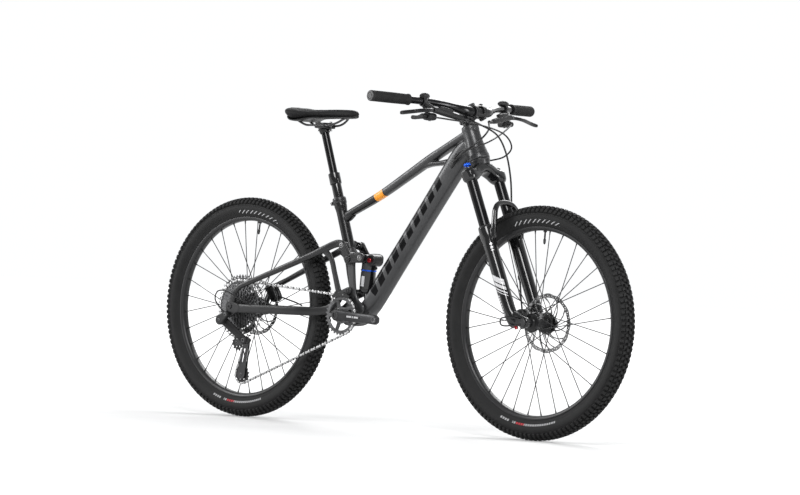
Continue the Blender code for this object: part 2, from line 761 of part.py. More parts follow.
def make_links():
    lower = plate(
        "lower_link",
        hull_outline([(*LINK_PIVOT, 0.0110), (*LINK_REAR, 0.0110)], 16),
        -0.0462,
        -PLATE_INNER,
        BLACK_ALLOY,
        link_axis,
    )
    other = plate(
        "lower_link_left_plate",
        hull_outline([(*LINK_PIVOT, 0.0110), (*LINK_REAR, 0.0110)], 16),
        PLATE_INNER,
        0.0462,
        None,
    )
    pins = [
        rod(f"lower_link_pin_{i}", side(place, -0.042), side(place, 0.042), 0.0058, None)
        for i, place in enumerate((LINK_PIVOT, LINK_REAR))
    ]
    join(lower, other, *pins)

    outline = hull_outline([(*ROCKER_REAR, 0.0125), (*ROCKER_PIVOT, 0.0150)], 20)
    front = hull_outline([(*ROCKER_PIVOT, 0.0150), (*ROCKER_FRONT, 0.0125)], 20)
    rocker = plate("rocker_link", outline, -0.0502, -PLATE_INNER, BLACK_ALLOY, rocker_axis)
    others = [
        plate("rocker_right_front", front, -0.0502, -PLATE_INNER, None),
        plate("rocker_left_rear", outline, PLATE_INNER, 0.0502, None),
        plate("rocker_left_front", front, PLATE_INNER, 0.0502, None),
        rod("rocker_shock_bolt", side(ROCKER_FRONT, -0.045), side(ROCKER_FRONT, 0.045), 0.0050, None),
    ]
    for label, y_sign in (("right", -1), ("left", 1)):
        start, end = side(ROCKER_REAR, y_sign * 0.045), side(ROCKER_REAR, y_sign * 0.0285)
        others.append(rod(f"rocker_rear_pin_{label}", start, end, 0.0058, None))
    join(rocker, *others)
    cut(rocker, rod("rocker_pivot_bore", side(ROCKER_PIVOT, -0.06), side(ROCKER_PIVOT, 0.06), 0.0063, None))


def make_shock():
    head, foot = side(ROCKER_FRONT), side(SHOCK_FOOT)
    down = (foot - head).normalized()
    profile = [(0, 0.0), (0.0150, 0.0), (0.0210, -0.012), (0.0240, -0.014), (0.0240, -0.104)]
    profile += [(0.0200, -0.110), (0.0055, -0.110), (0.0055, -0.022), (0, -0.022)]
    can = turned("shock_can", profile, head, -down, GLOSS_BLACK, shock_axis, 20)
    eye = rod("shock_head", head - LEFT * 0.0265, head + LEFT * 0.0265, 0.0115, None)
    middle = head + Vector((0.020, 0, -0.006))
    reservoir = rod("shock_reservoir", middle - LEFT * 0.022, middle + LEFT * 0.022, 0.0150, None)
    join(can, eye, reservoir)
    cut(can, rod("shock_head_bore", head - LEFT * 0.04, head + LEFT * 0.04, 0.0054, None))
    reach = (foot - head).length
    shaft = rod("shock_shaft", foot, foot - down * (reach - 0.066), 0.0050, STEEL, shaft_slide)
    eye = rod("shock_foot", foot - LEFT * 0.0185, foot + LEFT * 0.0185, 0.0095, None)
    bolt = rod("shock_foot_bolt", foot - LEFT * 0.0247, foot + LEFT * 0.0247, 0.0045, None)
    join(shaft, eye, bolt)


# ---------------------------------------------------------------- wheels
def make_wheel(name, place, body, hub_profile, flanges):
    """Tyre, rim, spokes on their nipple hoop, and hub of one wheel."""
    centre = side(place)
    w = TYRE_HALF_WIDTH
    outer = [
        (0.2890, -0.0150),
        (0.3040, -0.0270),
        (0.3200, -w),
        (0.3400, -0.0250),
        (TYRE_RADIUS - 0.0022, -0.0130),
        (TYRE_RADIUS, 0.0),
    ]
    inner = [(0.3450, 0.0), (0.3200, -0.0265), (0.2910, -0.0120)]
    profile = [(r, -y) for r, y in outer[:-1]] + [(r, y) for r, y in outer[::-1]]
    profile += [(r, y) for r, y in inner[::-1]] + [(r, -y) for r, y in inner[1:]]
    turned(name + "_tyre", profile, centre, LEFT, RUBBER, body, WHEEL_STEPS, ring=True, start=-UP)
    profile = [
        (RIM_OUTER_RADIUS, 0.0155),
        (RIM_OUTER_RADIUS, -0.0155),
        (RIM_INNER_RADIUS, -0.0100),
        (RIM_INNER_RADIUS, 0.0100),
    ]
    turned(name + "_rim", profile, centre, LEFT, BLACK_ALLOY, body, WHEEL_STEPS, ring=True, start=-UP)
    hoop_outer = RIM_INNER_RADIUS - 0.0006
    hoop_inner = hoop_outer - 0.003
    profile = [(hoop_outer, 0.0016), (hoop_outer, -0.0016), (hoop_inner, -0.0016), (hoop_inner, 0.0016)]
    hoop = turned(
        name + "_spokes", profile, centre, LEFT, SPOKE_STEEL, body, WHEEL_STEPS, ring=True, start=-UP
    )
    bm = bmesh.new()
    for i in range(SPOKES):
        flange_y, flange_radius = flanges[i % 2]
        lead = radians(62) if (i // 2) % 2 else -radians(62)
        rim_angle = 2 * pi * (i + 0.5) / SPOKES
        hub_angle = rim_angle + lead
        outside = 0.0022 if (i // 2) % 2 else -0.0022
        foot = Vector((flange_radius * cos(hub_angle), flange_y + outside, flange_radius * sin(hub_angle)))
        tip = Vector((hoop_outer - 0.0015, 0, 0))
        tip = Vector((tip.x * cos(rim_angle), 0, tip.x * sin(rim_angle)))
        along = tip - foot
        turn = along.to_track_quat("Z", "Y").to_matrix().to_4x4()
        matrix = Matrix.Translation((foot + tip) / 2) @ turn
        bmesh.ops.create_cone(
            bm,
            cap_ends=True,
            segments=3,
            radius1=SPOKE_RADIUS,
            radius2=SPOKE_RADIUS,
            depth=along.length,
            matrix=matrix,
        )
    mesh = bpy.data.meshes.new(name + "_wires")
    bm.to_mesh(mesh)
    bm.free()
    wires = add(name + "_wires", mesh, None)
    wires.matrix_world = Matrix.Translation(centre)
    join(hoop, wires)
    turned(name + "_hub", hub_profile, centre, LEFT, BLACK_ALLOY, body, 16, ring=True)


def make_rotor(name, place, y, body, bore):
    """Brake disc: a band on six arms round a centre plate."""
    half = 0.0009
    profile = [(ROTOR_RADIUS, half), (ROTOR_RADIUS, -half), (0.0740, -half), (0.0740, half)]
    band = turned(name, profile, side(place, y), LEFT, STEEL, body, 28, ring=True)
    profile = [(0.0285, half), (0.0285, -half), (bore, -half), (bore, half)]
    centre = turned(name + "_centre", profile, side(place, y), LEFT, None, steps=16, ring=True)
    arms = []
    for i in range(6):
        angle = pi * i / 3
        turn = Matrix.Rotation(-angle, 3, "Y")
        middle = side(place, y) + turn @ Vector((0.0515, 0, 0.006))
        swept = turn @ Matrix.Rotation(radians(12), 3, "Y")
        arms.append(box(f"{name}_arm_{i}", middle, (0.052, 2 * half, 0.006), None, turn=swept))
    join(band, centre, *arms)


def make_front_wheel():
    profile = [
        (0.0110, FRONT_HUB_HALF),
        (0.0110, 0.0440),
        (0.0200, 0.0430),
        (0.0200, 0.0300),
        (0.0290, 0.0290),
        (0.0290, 0.0260),
        (0.0190, 0.0230),
        (0.0160, 0.0000),
        (0.0190, -0.0270),
        (0.0290, -0.0320),
        (0.0290, -0.0350),
        (0.0150, -0.0370),
        (0.0110, -0.0420),
        (0.0110, -FRONT_HUB_HALF),
        (0.0080, -FRONT_HUB_HALF),
        (0.0080, FRONT_HUB_HALF),
    ]
    make_wheel("front", FRONT_AXLE, front_axis, profile, ((-0.0335, 0.0325), (0.0275, 0.0325)))
    make_rotor("front_rotor", FRONT_AXLE, ROTOR_Y_FRONT, front_axis, 0.0206)


def make_rear_wheel():
    profile = [
        (0.0120, REAR_HUB_HALF),
        (0.0120, 0.0560),
        (0.0200, 0.0540),
        (0.0200, 0.0400),
        (0.0290, 0.0390),
        (0.0290, 0.0360),
        (0.0190, 0.0320),
        (0.0170, 0.0050),
        (0.0220, -0.0140),
        (0.0290, -0.0180),
        (0.0290, -0.0210),
        (0.0220, -0.0230),
        (0.0220, -0.0265),
        (0.0068, -0.0265),
        (0.0068, REAR_HUB_HALF),
    ]
    make_wheel("rear", REAR_AXLE, rear_axis, profile, ((-0.0195, 0.0325), (0.0375, 0.0325)))
    make_rotor("rear_rotor", REAR_AXLE, ROTOR_Y_REAR, rear_axis, 0.0206)


# ---------------------------------------------------------------- drivetrain
def root_radius(teeth):
    """The body of a sprocket, whose teeth lie inside the chain."""
    return pitch_radius(teeth) - 0.0062


def make_cassette():
    """Stepped body of the sprockets on the freehub, smallest outermost."""
    steps = [
        (0.1035, -0.0295, -0.0322),
        (root_radius(COG_TEETH), -0.0322, -0.0392),
        (0.0710, -0.0392, -0.0440),
        (0.0590, -0.0440, -0.0490),
        (0.0480, -0.0490, -0.0540),
        (0.0380, -0.0540, -0.0595),
        (0.0290, -0.0595, -0.0645),
        (0.0220, -0.0645, -0.0690),
    ]
    profile = []
    for radius, near, far in steps:
        profile += [(radius, near), (radius, far)]
    profile += [(0.0120, -0.0690), (0.0120, -REAR_HUB_HALF), (0.0068, -REAR_HUB_HALF)]
    profile += [(0.0068, -0.0270), (0.0350, -0.0270), (0.0350, -0.0295)]
    turned("cassette", profile, side(REAR_AXLE), LEFT, DARK_STEEL, cassette_axis, 24, ring=True)


def make_cranks():
    along = Vector((cos(CRANK_DROOP), 0, -sin(CRANK_DROOP)))
    for name, y_sign in (("crank_right", -1), ("crank_left", 1)):
        reach = along * (CRANK_LENGTH * -y_sign)
        start = side(BB, y_sign * 0.0725)
        end = side(BB, y_sign * 0.0785) + reach
        stations = [
            (start - reach * 0.09, 0.0060, 0.0120),
            (start - reach * 0.02, 0.0085, 0.0180),
            (start + reach * 0.20, 0.0080, 0.0165),
            (start + reach * 0.55, 0.0070, 0.0150),
            (end - reach * 0.04, 0.0065, 0.0150),
            (end + reach * 0.05, 0.0062, 0.0145),
            (end + reach * 0.09, 0.0050, 0.0090),
        ]
        piece = loft(name, stations, BLACK_ALLOY, crank_axis, power=3.0)
        hole = rod(name + "_pedal_hole", end - LEFT * 0.02, end + LEFT * 0.02, 0.0072, None)
        inner_face, outer_face = end - LEFT * (y_sign * 0.0070), end + LEFT * (y_sign * 0.0075)
        eye = rod(name + "_pedal_eye", inner_face, outer_face, 0.0120, None, steps=16)
        join(piece, eye)
        if y_sign < 0:
            boss = pipe(name + "_boss", side(BB, -0.0740), side(BB, -0.0560), 0.0180, 0.0125, None)
            join(piece, boss)
        else:
            spindle = rod(name + "_spindle", side(BB, 0.0750), side(BB, -0.0640), 0.0120, None)
            washer = rod(name + "_washer", side(BB, 0.0700), side(BB, 0.0385), 0.0170, None)
            join(piece, spindle, washer)
        cut(piece, hole)
        if y_sign < 0:
            cut(piece, rod("spindle_clearance", side(BB, 0.0), side(BB, -0.0645), 0.0124, None))


def make_chainring():
    y = CHAINRING_Y
    profile = [
        (root_radius(CHAINRING_TEETH), 0.0020),
        (root_radius(CHAINRING_TEETH), -0.0020),
        (0.0460, -0.0020),
        (0.0460, 0.0020),
    ]
    ring = turned("chainring", profile, side(BB, y), LEFT, DARK_STEEL, crank_axis, 28, ring=True)
    profile = [(0.0230, 0.0030), (0.0230, -0.0030), (0.0126, -0.0030), (0.0126, 0.0030)]
    centre = turned("chainring_centre", profile, side(BB, y), LEFT, None, steps=16, ring=True)
    arms = []
    for i in range(5):
        turn = Matrix.Rotation(2 * pi * (i + 0.3) / 5, 3, "Y")
        middle = side(BB, y) + turn @ Vector((0.0345, 0, 0))
        arms.append(box(f"chainring_arm_{i}", middle, (0.030, 0.0036, 0.010), None, turn=turn))
    join(ring, centre, *arms)


def chain_path(step=0.022):
    """Points round the chain's run: chainring, sprocket and the two pulleys."""
    wheels = [
        (BB, pitch_radius(CHAINRING_TEETH), 1, CHAINRING_Y),
        (REAR_AXLE, pitch_radius(COG_TEETH), 1, COG_Y),
        (UPPER_PULLEY, pitch_radius(UPPER_PULLEY_TEETH), -1, COG_Y),
        (LOWER_PULLEY, pitch_radius(LOWER_PULLEY_TEETH), 1, COG_Y),
    ]
    tangents = []
    for (a, ra, sa, _), (b, rb, sb, _) in zip(wheels, wheels[1:] + wheels[:1]):
        gap = Vector((b[0] - a[0], b[1] - a[1]))
        lean = (sa * ra - sb * rb) / gap.length
        direction = gap.normalized()
        sideways = Vector((direction.y, -direction.x))
        unit = sideways * sqrt(1 - lean * lean) + direction * lean
        tangents.append(((sa * ra) * unit, (sb * rb) * unit))
    points = []
    for i, (centre, radius, turn, y) in enumerate(wheels):
        arrive, leave = tangents[i - 1][1], tangents[i][0]
        start, end = atan2(arrive.y, arrive.x), atan2(leave.y, leave.x)
        sweep = (end - start) % (2 * pi) if turn > 0 else -((start - end) % (2 * pi))
        count = max(2, round(abs(sweep) * radius / step))
        for k in range(count + 1):
            angle = start + sweep * k / count
            place = (centre[0] + radius * cos(angle), centre[1] + radius * sin(angle))
            points.append(side(place, y))
        nxt = wheels[(i + 1) % 4]
        first = points[-1]
        target = tangents[i][1]
        last = side((nxt[0][0] + target.x, nxt[0][1] + target.y), nxt[3])
        runs = max(1, round((last - first).length / 0.09))
        points += [first.lerp(last, k / runs) for k in range(1, runs)]
    return points


def make_chain():
    """The chain as one plain closed band."""
    points = chain_path()
    bm = bmesh.new()
    rings = []
    for i, point in enumerate(points):
        along = (points[(i + 1) % len(points)] - points[i - 1]).normalized()
        width = (LEFT - along * LEFT.dot(along)).normalized()
        height = width.cross(along)
        rings.append(
            [
                bm.verts.new(point + width * (0.0033 * a) + height * (0.0042 * b))
                for a, b in ((-1, -1), (1, -1), (1, 1), (-1, 1))
            ]
        )
    for a, b in zip(rings, rings[1:] + rings[:1]):
        for k in range(4):
            bm.faces.new((a[k], a[(k + 1) % 4], b[(k + 1) % 4], b[k]))
    bmesh.ops.recalc_face_normals(bm, faces=bm.faces)
    mesh = bpy.data.meshes.new("chain")
    bm.to_mesh(mesh)
    bm.free()
    add("chain", mesh, CHAIN_STEEL, rear_swing)


def make_derailleur():
    """Body on the dropout with the last length of shift housing, swinging arm, and cage with pulleys."""
    x, z = DERAILLEUR_KNUCKLE
    outline = hull_outline([(x, z, 0.0140), (-0.004, 0.325, 0.0090)])
    body = plate("derailleur_body", outline, -0.1010, -0.0870, PLASTIC, rear_swing)
    hanger_place = (-0.004, 0.325)
    bolt = rod("derailleur_bolt", side(hanger_place, -0.0900), side(hanger_place, -0.0853), 0.0060, None)
    loop = [
        (-0.004, -0.0945, 0.332),
        (-0.030, -0.0960, 0.345),
        (-0.052, -0.0980, 0.372),
        (-0.040, -0.1000, 0.398),
        (-0.004, -0.0980, 0.400),
        (0.040, -0.0930, 0.380),
        (0.085, -0.0865, 0.3640),
    ]
    points = smooth([side((px, pz), py) for px, py, pz in loop], 0.012)
    housing = as_mesh(tube("derailleur_housing", points, 0.0022, None, resolution=1))
    join(body, bolt, housing)

    cx, cz = CAGE_PIVOT
    arm = rod("derailleur_arm", side((x, z), -0.0844), side((x, z), -0.0730), 0.0130, PLASTIC, arm_axis, 16)
    cage_end = rod("arm_cage_end", side((cx, cz), -0.0620), side((cx, cz), -0.0485), 0.0125, None, steps=16)
    stations = [(side((x, z), -0.0785), 0.0048, 0.0110), (side((cx, cz), -0.0565), 0.0048, 0.0100)]
    join(arm, cage_end, loft("arm_link", stations, None, power=3.0))

    ux, uz = UPPER_PULLEY
    lx, lz = LOWER_PULLEY
    upper = hull_outline([(cx, cz, 0.0110), (ux, uz, 0.0090)], 12)
    lower = hull_outline([(cx - 0.004, cz - 0.004, 0.0120), (lx, lz, 0.0130)], 12)
    inner_upper = hull_outline([(cx, cz, 0.0060), (ux, uz, 0.0072)], 12)
    inner_lower = hull_outline([(cx - 0.004, cz - 0.006, 0.0060), (lx, lz, 0.0120)], 12)
    cage = plate("derailleur_cage", lower, COG_Y - 0.0066, COG_Y - 0.0046, BLACK_ALLOY, cage_axis)
    near, far = COG_Y - 0.006, COG_Y + 0.006
    others = [
        plate("cage_outer_upper", upper, COG_Y - 0.0066, COG_Y - 0.0046, None),
        plate("cage_inner_upper", inner_upper, COG_Y + 0.0046, COG_Y + 0.0062, None),
        plate("cage_inner_lower", inner_lower, COG_Y + 0.0046, COG_Y + 0.0062, None),
        rod("cage_upper_bolt", side(UPPER_PULLEY, near), side(UPPER_PULLEY, far), 0.0030, None),
        rod("cage_lower_bolt", side(LOWER_PULLEY, near), side(LOWER_PULLEY, far), 0.0030, None),
        rod("cage_pivot", side(CAGE_PIVOT, COG_Y - 0.0060), side(CAGE_PIVOT, -0.0480), 0.0090, None),
    ]
    join(cage, *others)
    for name, place, teeth, parent in (
        ("upper_pulley", UPPER_PULLEY, UPPER_PULLEY_TEETH, upper_pulley_axis),
        ("lower_pulley", LOWER_PULLEY, LOWER_PULLEY_TEETH, lower_pulley_axis),
    ):
        radius = root_radius(teeth)
        profile = [(radius, 0.0020), (radius, -0.0020), (0.0034, -0.0020), (0.0034, 0.0020)]
        turned(name, profile, side(place, COG_Y), LEFT, PLASTIC, parent, 20, ring=True)


# ---------------------------------------------------------------- brakes
def make_caliper(name, centre, turn, body, rotor_y, legs):
    """Caliper round the disc's edge, with its mounting feet."""
    block = box(name, centre, (0.034, 0.036, 0.062), BLACK_ALLOY, body, turn, bevel=0.006)
    slot_centre = Vector((centre.x, rotor_y, centre.z)) + turn @ Vector((legs, 0, 0))
    slot = box(name + "_slot", slot_centre, (0.040, 0.0044, 0.080), None, turn=turn)
    cut(block, slot)
    return block


def make_calipers():
    turn = Matrix.Rotation(HEAD_ANGLE - pi / 2, 3, "Y")
    centre = on_steerer(-0.490, -0.0375, ROTOR_Y_FRONT + 0.003)
    make_caliper("front_caliper", centre, turn, fork_slide, ROTOR_Y_FRONT, 0.011)
    turn = Matrix.Rotation(radians(-38), 3, "Y")
    centre = side((0.0640, 0.4020), ROTOR_Y_REAR + 0.003)
    rear = make_caliper("rear_caliper", centre, turn, rear_swing, ROTOR_Y_REAR, -0.008)
    route = [(0.080, 0.055, 0.392), (0.105, 0.0600, 0.384), (0.140, 0.0690, 0.374), (0.172, 0.0690, 0.3645)]
    points = smooth([side((x, z), y) for x, y, z in route], 0.020)
    hose = as_mesh(tube("rear_caliper_hose", points, 0.0025, None, resolution=1))
    join(rear, hose)


# ---------------------------------------------------------------- fork
def make_fork():
    """Steerer, crown and stanchions in one, and the lower legs with their arch."""
    profile = [(0, 0.1700), (STEERER_RADIUS, 0.1700), (STEERER_RADIUS, 0.070)]
    profile += [(0.0190, 0.020), (0.0190, -0.020), (0, -0.020)]
    upper = turned("fork_upper", profile, CROWN, STEER_UP, GLOSS_BLACK, steering, 16)
    across = STEER_FORWARD
    stations = []
    for y, drop, deep, tall in (
        (-0.0865, -0.044, 0.0120, 0.0150),
        (-0.0800, -0.043, 0.0210, 0.0200),
        (-LEG_SPACING, -0.043, 0.0245, 0.0220),
        (-0.0430, -0.034, 0.0220, 0.0190),
        (-0.0200, -0.018, 0.0250, 0.0175),
        (0.0, -0.0165, 0.0260, 0.0165),
        (0.0200, -0.018, 0.0250, 0.0175),
        (0.0430, -0.034, 0.0220, 0.0190),
        (LEG_SPACING, -0.043, 0.0245, 0.0220),
        (0.0800, -0.043, 0.0210, 0.0200),
        (0.0865, -0.044, 0.0120, 0.0150),
    ):
        stations.append((on_steerer(drop, 0, y), deep, tall))
    crown = loft("fork_crown", stations, None, across=across, power=2.8)
    race = rod("crown_race", on_steerer(-0.012), on_steerer(0.0045), 0.0290, None, steps=20)
    legs = [
        rod(f"stanchion_{label}", top, top - STEER_UP * 0.2865, STANCHION_RADIUS, None, steps=16)
        for label, top in (
            ("right", on_steerer(-0.0235, 0, -LEG_SPACING)),
            ("left", on_steerer(-0.0235, 0, LEG_SPACING)),
        )
    ]
    join(upper, crown, race, *legs)

    lowers = None
    others, bores = [], []
    for label, y_sign in (("right", -1), ("left", 1)):
        y = y_sign * LEG_SPACING
        stations = [
            (on_steerer(-0.2100, 0, y), 0.0225, 0.0225),
            (on_steerer(-0.2350, 0, y), 0.0225, 0.0225),
            (on_steerer(-0.2600, 0, y), 0.0208, 0.0208),
            (on_steerer(-0.4700, 0, y), 0.0200, 0.0200),
            (on_steerer(-0.5150, 0.004, y), 0.0160, 0.0200),
            (on_steerer(-0.5300, 0.008, y), 0.0120, 0.0150),
        ]
        leg = loft(f"fork_leg_{label}", stations, GLOSS_BLACK if y_sign < 0 else None, power=2.05, count=14)
        low, high = sorted((y_sign * 0.0557, y_sign * 0.0760))
        foot = on_steerer(-0.500, 0.006)
        foot_place = (foot.x + WHEELBASE / 2, foot.z)
        dropout = plate(
            f"fork_dropout_{label}",
            hull_outline([(*FRONT_AXLE, 0.0170), (*foot_place, 0.0170)], 18),
            low,
            high,
            None,
        )
        bore_top, bore_foot = on_steerer(-0.200, 0, y), on_steerer(-0.460, 0, y)
        bores.append(rod(f"leg_bore_{label}", bore_top, bore_foot, STANCHION_RADIUS + GAP, None, steps=16))
        others.append(dropout)
        if y_sign < 0:
            lowers = leg
        else:
            others.append(leg)
    arch_half = [
        (-0.245, 0.022, 0.0650),
        (-0.205, 0.036, 0.0600),
        (-0.168, 0.044, 0.0490),
        (-0.1490, 0.0455, 0.0260),
        (-0.1460, 0.0455, 0.0),
    ]
    arch_all = arch_half + [(h, f, -y) for h, f, y in arch_half[-2::-1]]
    arch_stations = []
    for h, f, y in arch_all:
        arch_stations.append((on_steerer(h, f, y), 0.0085, 0.0075))
    arch = loft("fork_arch", arch_stations, None, across=STEER_FORWARD, power=2.6)
    lowers.name = "fork_lowers"
    lowers.data.name = "fork_lowers"
    attach(lowers, fork_slide)
    join(lowers, *others, arch)
    axle_bore = rod("front_axle_bore", side(FRONT_AXLE, -0.1), side(FRONT_AXLE, 0.1), 0.0078, None)
    cut(lowers, *bores, axle_bore)
    profile = [(0, 0.0780), (0.0105, 0.0780), (0.0105, 0.0765), (0.0075, 0.0765)]
    profile += [(0.0075, -0.0765), (0.0115, -0.0765), (0.0115, -0.0820), (0, -0.0820)]
    turned("front_axle", profile, side(FRONT_AXLE), LEFT, BLACK_ALLOY, fork_slide, 16)
    profile = [(0, 0.0145), (0.0090, 0.0140), (0.0105, 0.0110), (0.0105, 0.0050)]
    profile += [(0.0055, 0.0050), (0.0055, 0.0), (0, 0.0)]
    turned("compression_knob", profile, on_steerer(-0.0174, 0, -LEG_SPACING), STEER_UP, BLUE, knob_axis)


# ---------------------------------------------------------------- cockpit


def bar_point(y):
    """A point on the handlebar's centre line, so far out to the left."""
    stations = BAR_HALF[::-1]
    for (y0, x0, z0), (y1, x1, z1) in zip(stations, stations[1:]):
        if abs(y) <= y1:
            t = max(0.0, (abs(y) - y0) / (y1 - y0))
            return side((x0 + (x1 - x0) * t, z0 + (z1 - z0) * t), y)
    return side((stations[-1][1], stations[-1][2]), y)


def make_handlebar():
    half = [side((x, z), y) for y, x, z in BAR_HALF]
    half_radii = [BAR_RADIUS] * 4 + [0.0125, 0.0152, CLAMP_RADIUS]
    mirrored = [Vector((p.x, -p.y, p.z)) for p in half[::-1]]
    tube("handlebar", half + mirrored, BAR_RADIUS, BLACK_ALLOY, steering, half_radii + half_radii[::-1], 3)
    for name, y_sign in (("grip_right", -1), ("grip_left", 1)):
        outer, inner = bar_point(y_sign * 0.3778), bar_point(y_sign * 0.2420)
        along = (outer - inner).normalized()
        length = (outer - inner).length
        profile = [(0, length + 0.004), (0.0150, length + 0.004), (0.0162, length), (0.0158, 0.030)]
        profile += [(0.0172, 0.004), (0.0172, 0), (BAR_RADIUS + GAP, 0)]
        profile += [(BAR_RADIUS + GAP, length + GAP), (0, length + GAP)]
        turned(name, profile, inner, along, GRIP_RUBBER, steering, 20)


def make_stem():
    clamp = side((0.9196, 0.9810))
    profile = [(0.0200, STEM_HEIGHT + 0.0190), (0.0200, STEM_HEIGHT - 0.0190), (0.0215, STEM_HEIGHT - 0.0192)]
    profile += [(0.0215, HEAD_TUBE_HIGH + 0.0004), (STEERER_RADIUS + GAP, HEAD_TUBE_HIGH + 0.0004)]
    profile += [(STEERER_RADIUS + GAP, STEM_HEIGHT + 0.0190)]
    stem = turned("stem", profile, CROWN, STEER_UP, BLACK_ALLOY, steering, 16, ring=True)
    neck_stations = [
        (on_steerer(STEM_HEIGHT, 0.0160), 0.0160, 0.0165),
        (on_steerer(STEM_HEIGHT, 0.0300), 0.0200, 0.0160),
    ]
    neck = loft("stem_neck", neck_stations, None, power=3.0)
    right, left, bore_radius = clamp - LEFT * 0.026, clamp + LEFT * 0.026, CLAMP_RADIUS + GAP
    ring = pipe("bar_clamp_ring", right, left, 0.0215, bore_radius, None)
    turn = Matrix.Rotation(-(pi / 2 - HEAD_ANGLE), 3, "Y")
    half_size = (0.060, 0.070, 0.060)
    front_half = box("clamp_front_half", clamp + STEER_FORWARD * 0.0312, half_size, None, turn=turn)
    bar_bore = rod("bar_bore", clamp - LEFT * 0.04, clamp + LEFT * 0.04, CLAMP_RADIUS + GAP, None, steps=16)
    join(stem, neck, ring)
    cut(stem, front_half, bar_bore)
    face = pipe("stem_faceplate", right, left, 0.0220, bore_radius, BLACK_ALLOY, steering)
    rear_half = box("clamp_rear_half", clamp - STEER_FORWARD * 0.0282, half_size, None, turn=turn)
    cut(face, rear_half)
    profile = [(0, STEM_HEIGHT + 0.0240), (0.0150, STEM_HEIGHT + 0.0240), (0.0175, STEM_HEIGHT + 0.0215)]
    profile += [(0.0175, STEM_HEIGHT + 0.0180), (0, STEM_HEIGHT + 0.0180)]
    cap = turned("stem_cap", profile, CROWN, STEER_UP, None, steps=20)
    join(stem, cap)


def make_controls():
    """Brake master cylinders with the shifter and the dropper remote on the same clamps, and levers."""
    for name, y_sign, extra in (("right", -1, "shifter"), ("left", 1, "remote")):
        def at(x, z, y):
            return side((x, z), y_sign * y)

        mid = bar_point(y_sign * 0.190)
        along = (bar_point(y_sign * 0.200) - bar_point(y_sign * 0.180)).normalized()
        start, end = mid - along * 0.007, mid + along * 0.007
        clamp = pipe(f"brake_clamp_{name}", start, end, 0.0165, 0.0130, PLASTIC, steering, 16)
        body_stations = [
            (at(0.925, 0.9540, 0.0620), 0.0045, 0.0045),
            (at(0.922, 0.9570, 0.0780), 0.0075, 0.0075),
            (at(0.914, 0.9650, 0.1200), 0.0090, 0.0095),
            (at(0.905, 0.9730, 0.1650), 0.0085, 0.0100),
            (at(0.903, 0.9750, 0.1760), 0.0080, 0.0090),
            (at(0.903, 0.9750, 0.1840), 0.0070, 0.0080),
        ]
        body = loft(f"master_cylinder_{name}", body_stations, None, across=FORWARD)
        neck_start, neck_end = mid + Vector((0.008, 0, -0.006)), at(0.903, 0.9750, 0.176)
        neck_stations = [(neck_start, 0.0070, 0.0070), (neck_end, 0.0070, 0.0070)]
        neck = loft(f"perch_neck_{name}", neck_stations, None, power=2.6)
        control_place = at(0.8830, 0.9560, 0.178)
        control = box(f"{extra}_body", control_place, (0.034, 0.038, 0.024), None, bevel=0.004)
        under_neck = rod(f"{extra}_neck", mid - UP * 0.010, control_place, 0.0065, None)
        join(clamp, body, neck, under_neck, control)
        bore_start, bore_end = mid - along * 0.060, mid + along * 0.060
        cut(clamp, rod(f"bar_clearance_{name}", bore_start, bore_end, BAR_RADIUS + GAP, None, steps=16))

        blade = [
            (at(0.903, 0.9750, 0.1861), 0.0036, 0.0050),
            (at(0.903, 0.9750, 0.1930), 0.0060, 0.0055),
            (at(0.909, 0.9730, 0.2150), 0.0050, 0.0055),
            (at(0.906, 0.9700, 0.2450), 0.0040, 0.0060),
            (at(0.897, 0.9640, 0.2850), 0.0035, 0.0060),
            (at(0.893, 0.9600, 0.3150), 0.0040, 0.0060),
            (at(0.895, 0.9580, 0.3250), 0.0030, 0.0045),
        ]
        loft(f"brake_lever_{name}", blade, BLACK_ALLOY, lever_axis[name], across=FORWARD, power=2.6)
    outline = hull_outline([(0.8830, 0.9560, 0.0080), (0.8450, 0.9520, 0.0060)], 12)
    plate("shift_lever", outline, -0.2150, -0.1976, PLASTIC, shift_axis)
    plate("dropper_lever", outline, 0.1976, 0.2150, PLASTIC, remote_axis)


# ---------------------------------------------------------------- hoses and cables


def make_cables():
    for name, (radius, route) in CABLE_ROUTES.items():
        points = smooth([side((x, z), y) for x, y, z in route], 0.022)
        tube(name, points, radius, HOSE, steering, resolution=1)


def make_all():
    head_clearance = make_head_tube()
    make_down_tube(head_clearance)
    make_top_tube(head_clearance)
    make_seat_tube()
    make_shock_yoke()
    make_seatpost()
    make_saddle()
    make_stays()
    make_links()
    make_shock()
    make_front_wheel()
    make_rear_wheel()
    make_cassette()
    make_cranks()
    make_chainring()
    make_chain()
    make_derailleur()
    make_calipers()
    make_fork()
    make_handlebar()
    make_stem()
    make_controls()
    make_cables()


make_all()
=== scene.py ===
"""Looks of the mountain bike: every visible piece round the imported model, its finishes, lights and camera."""

from math import atan2, cos, pi, radians, sin, sqrt, tau

import bmesh
import bpy
from mathutils import Matrix, Vector


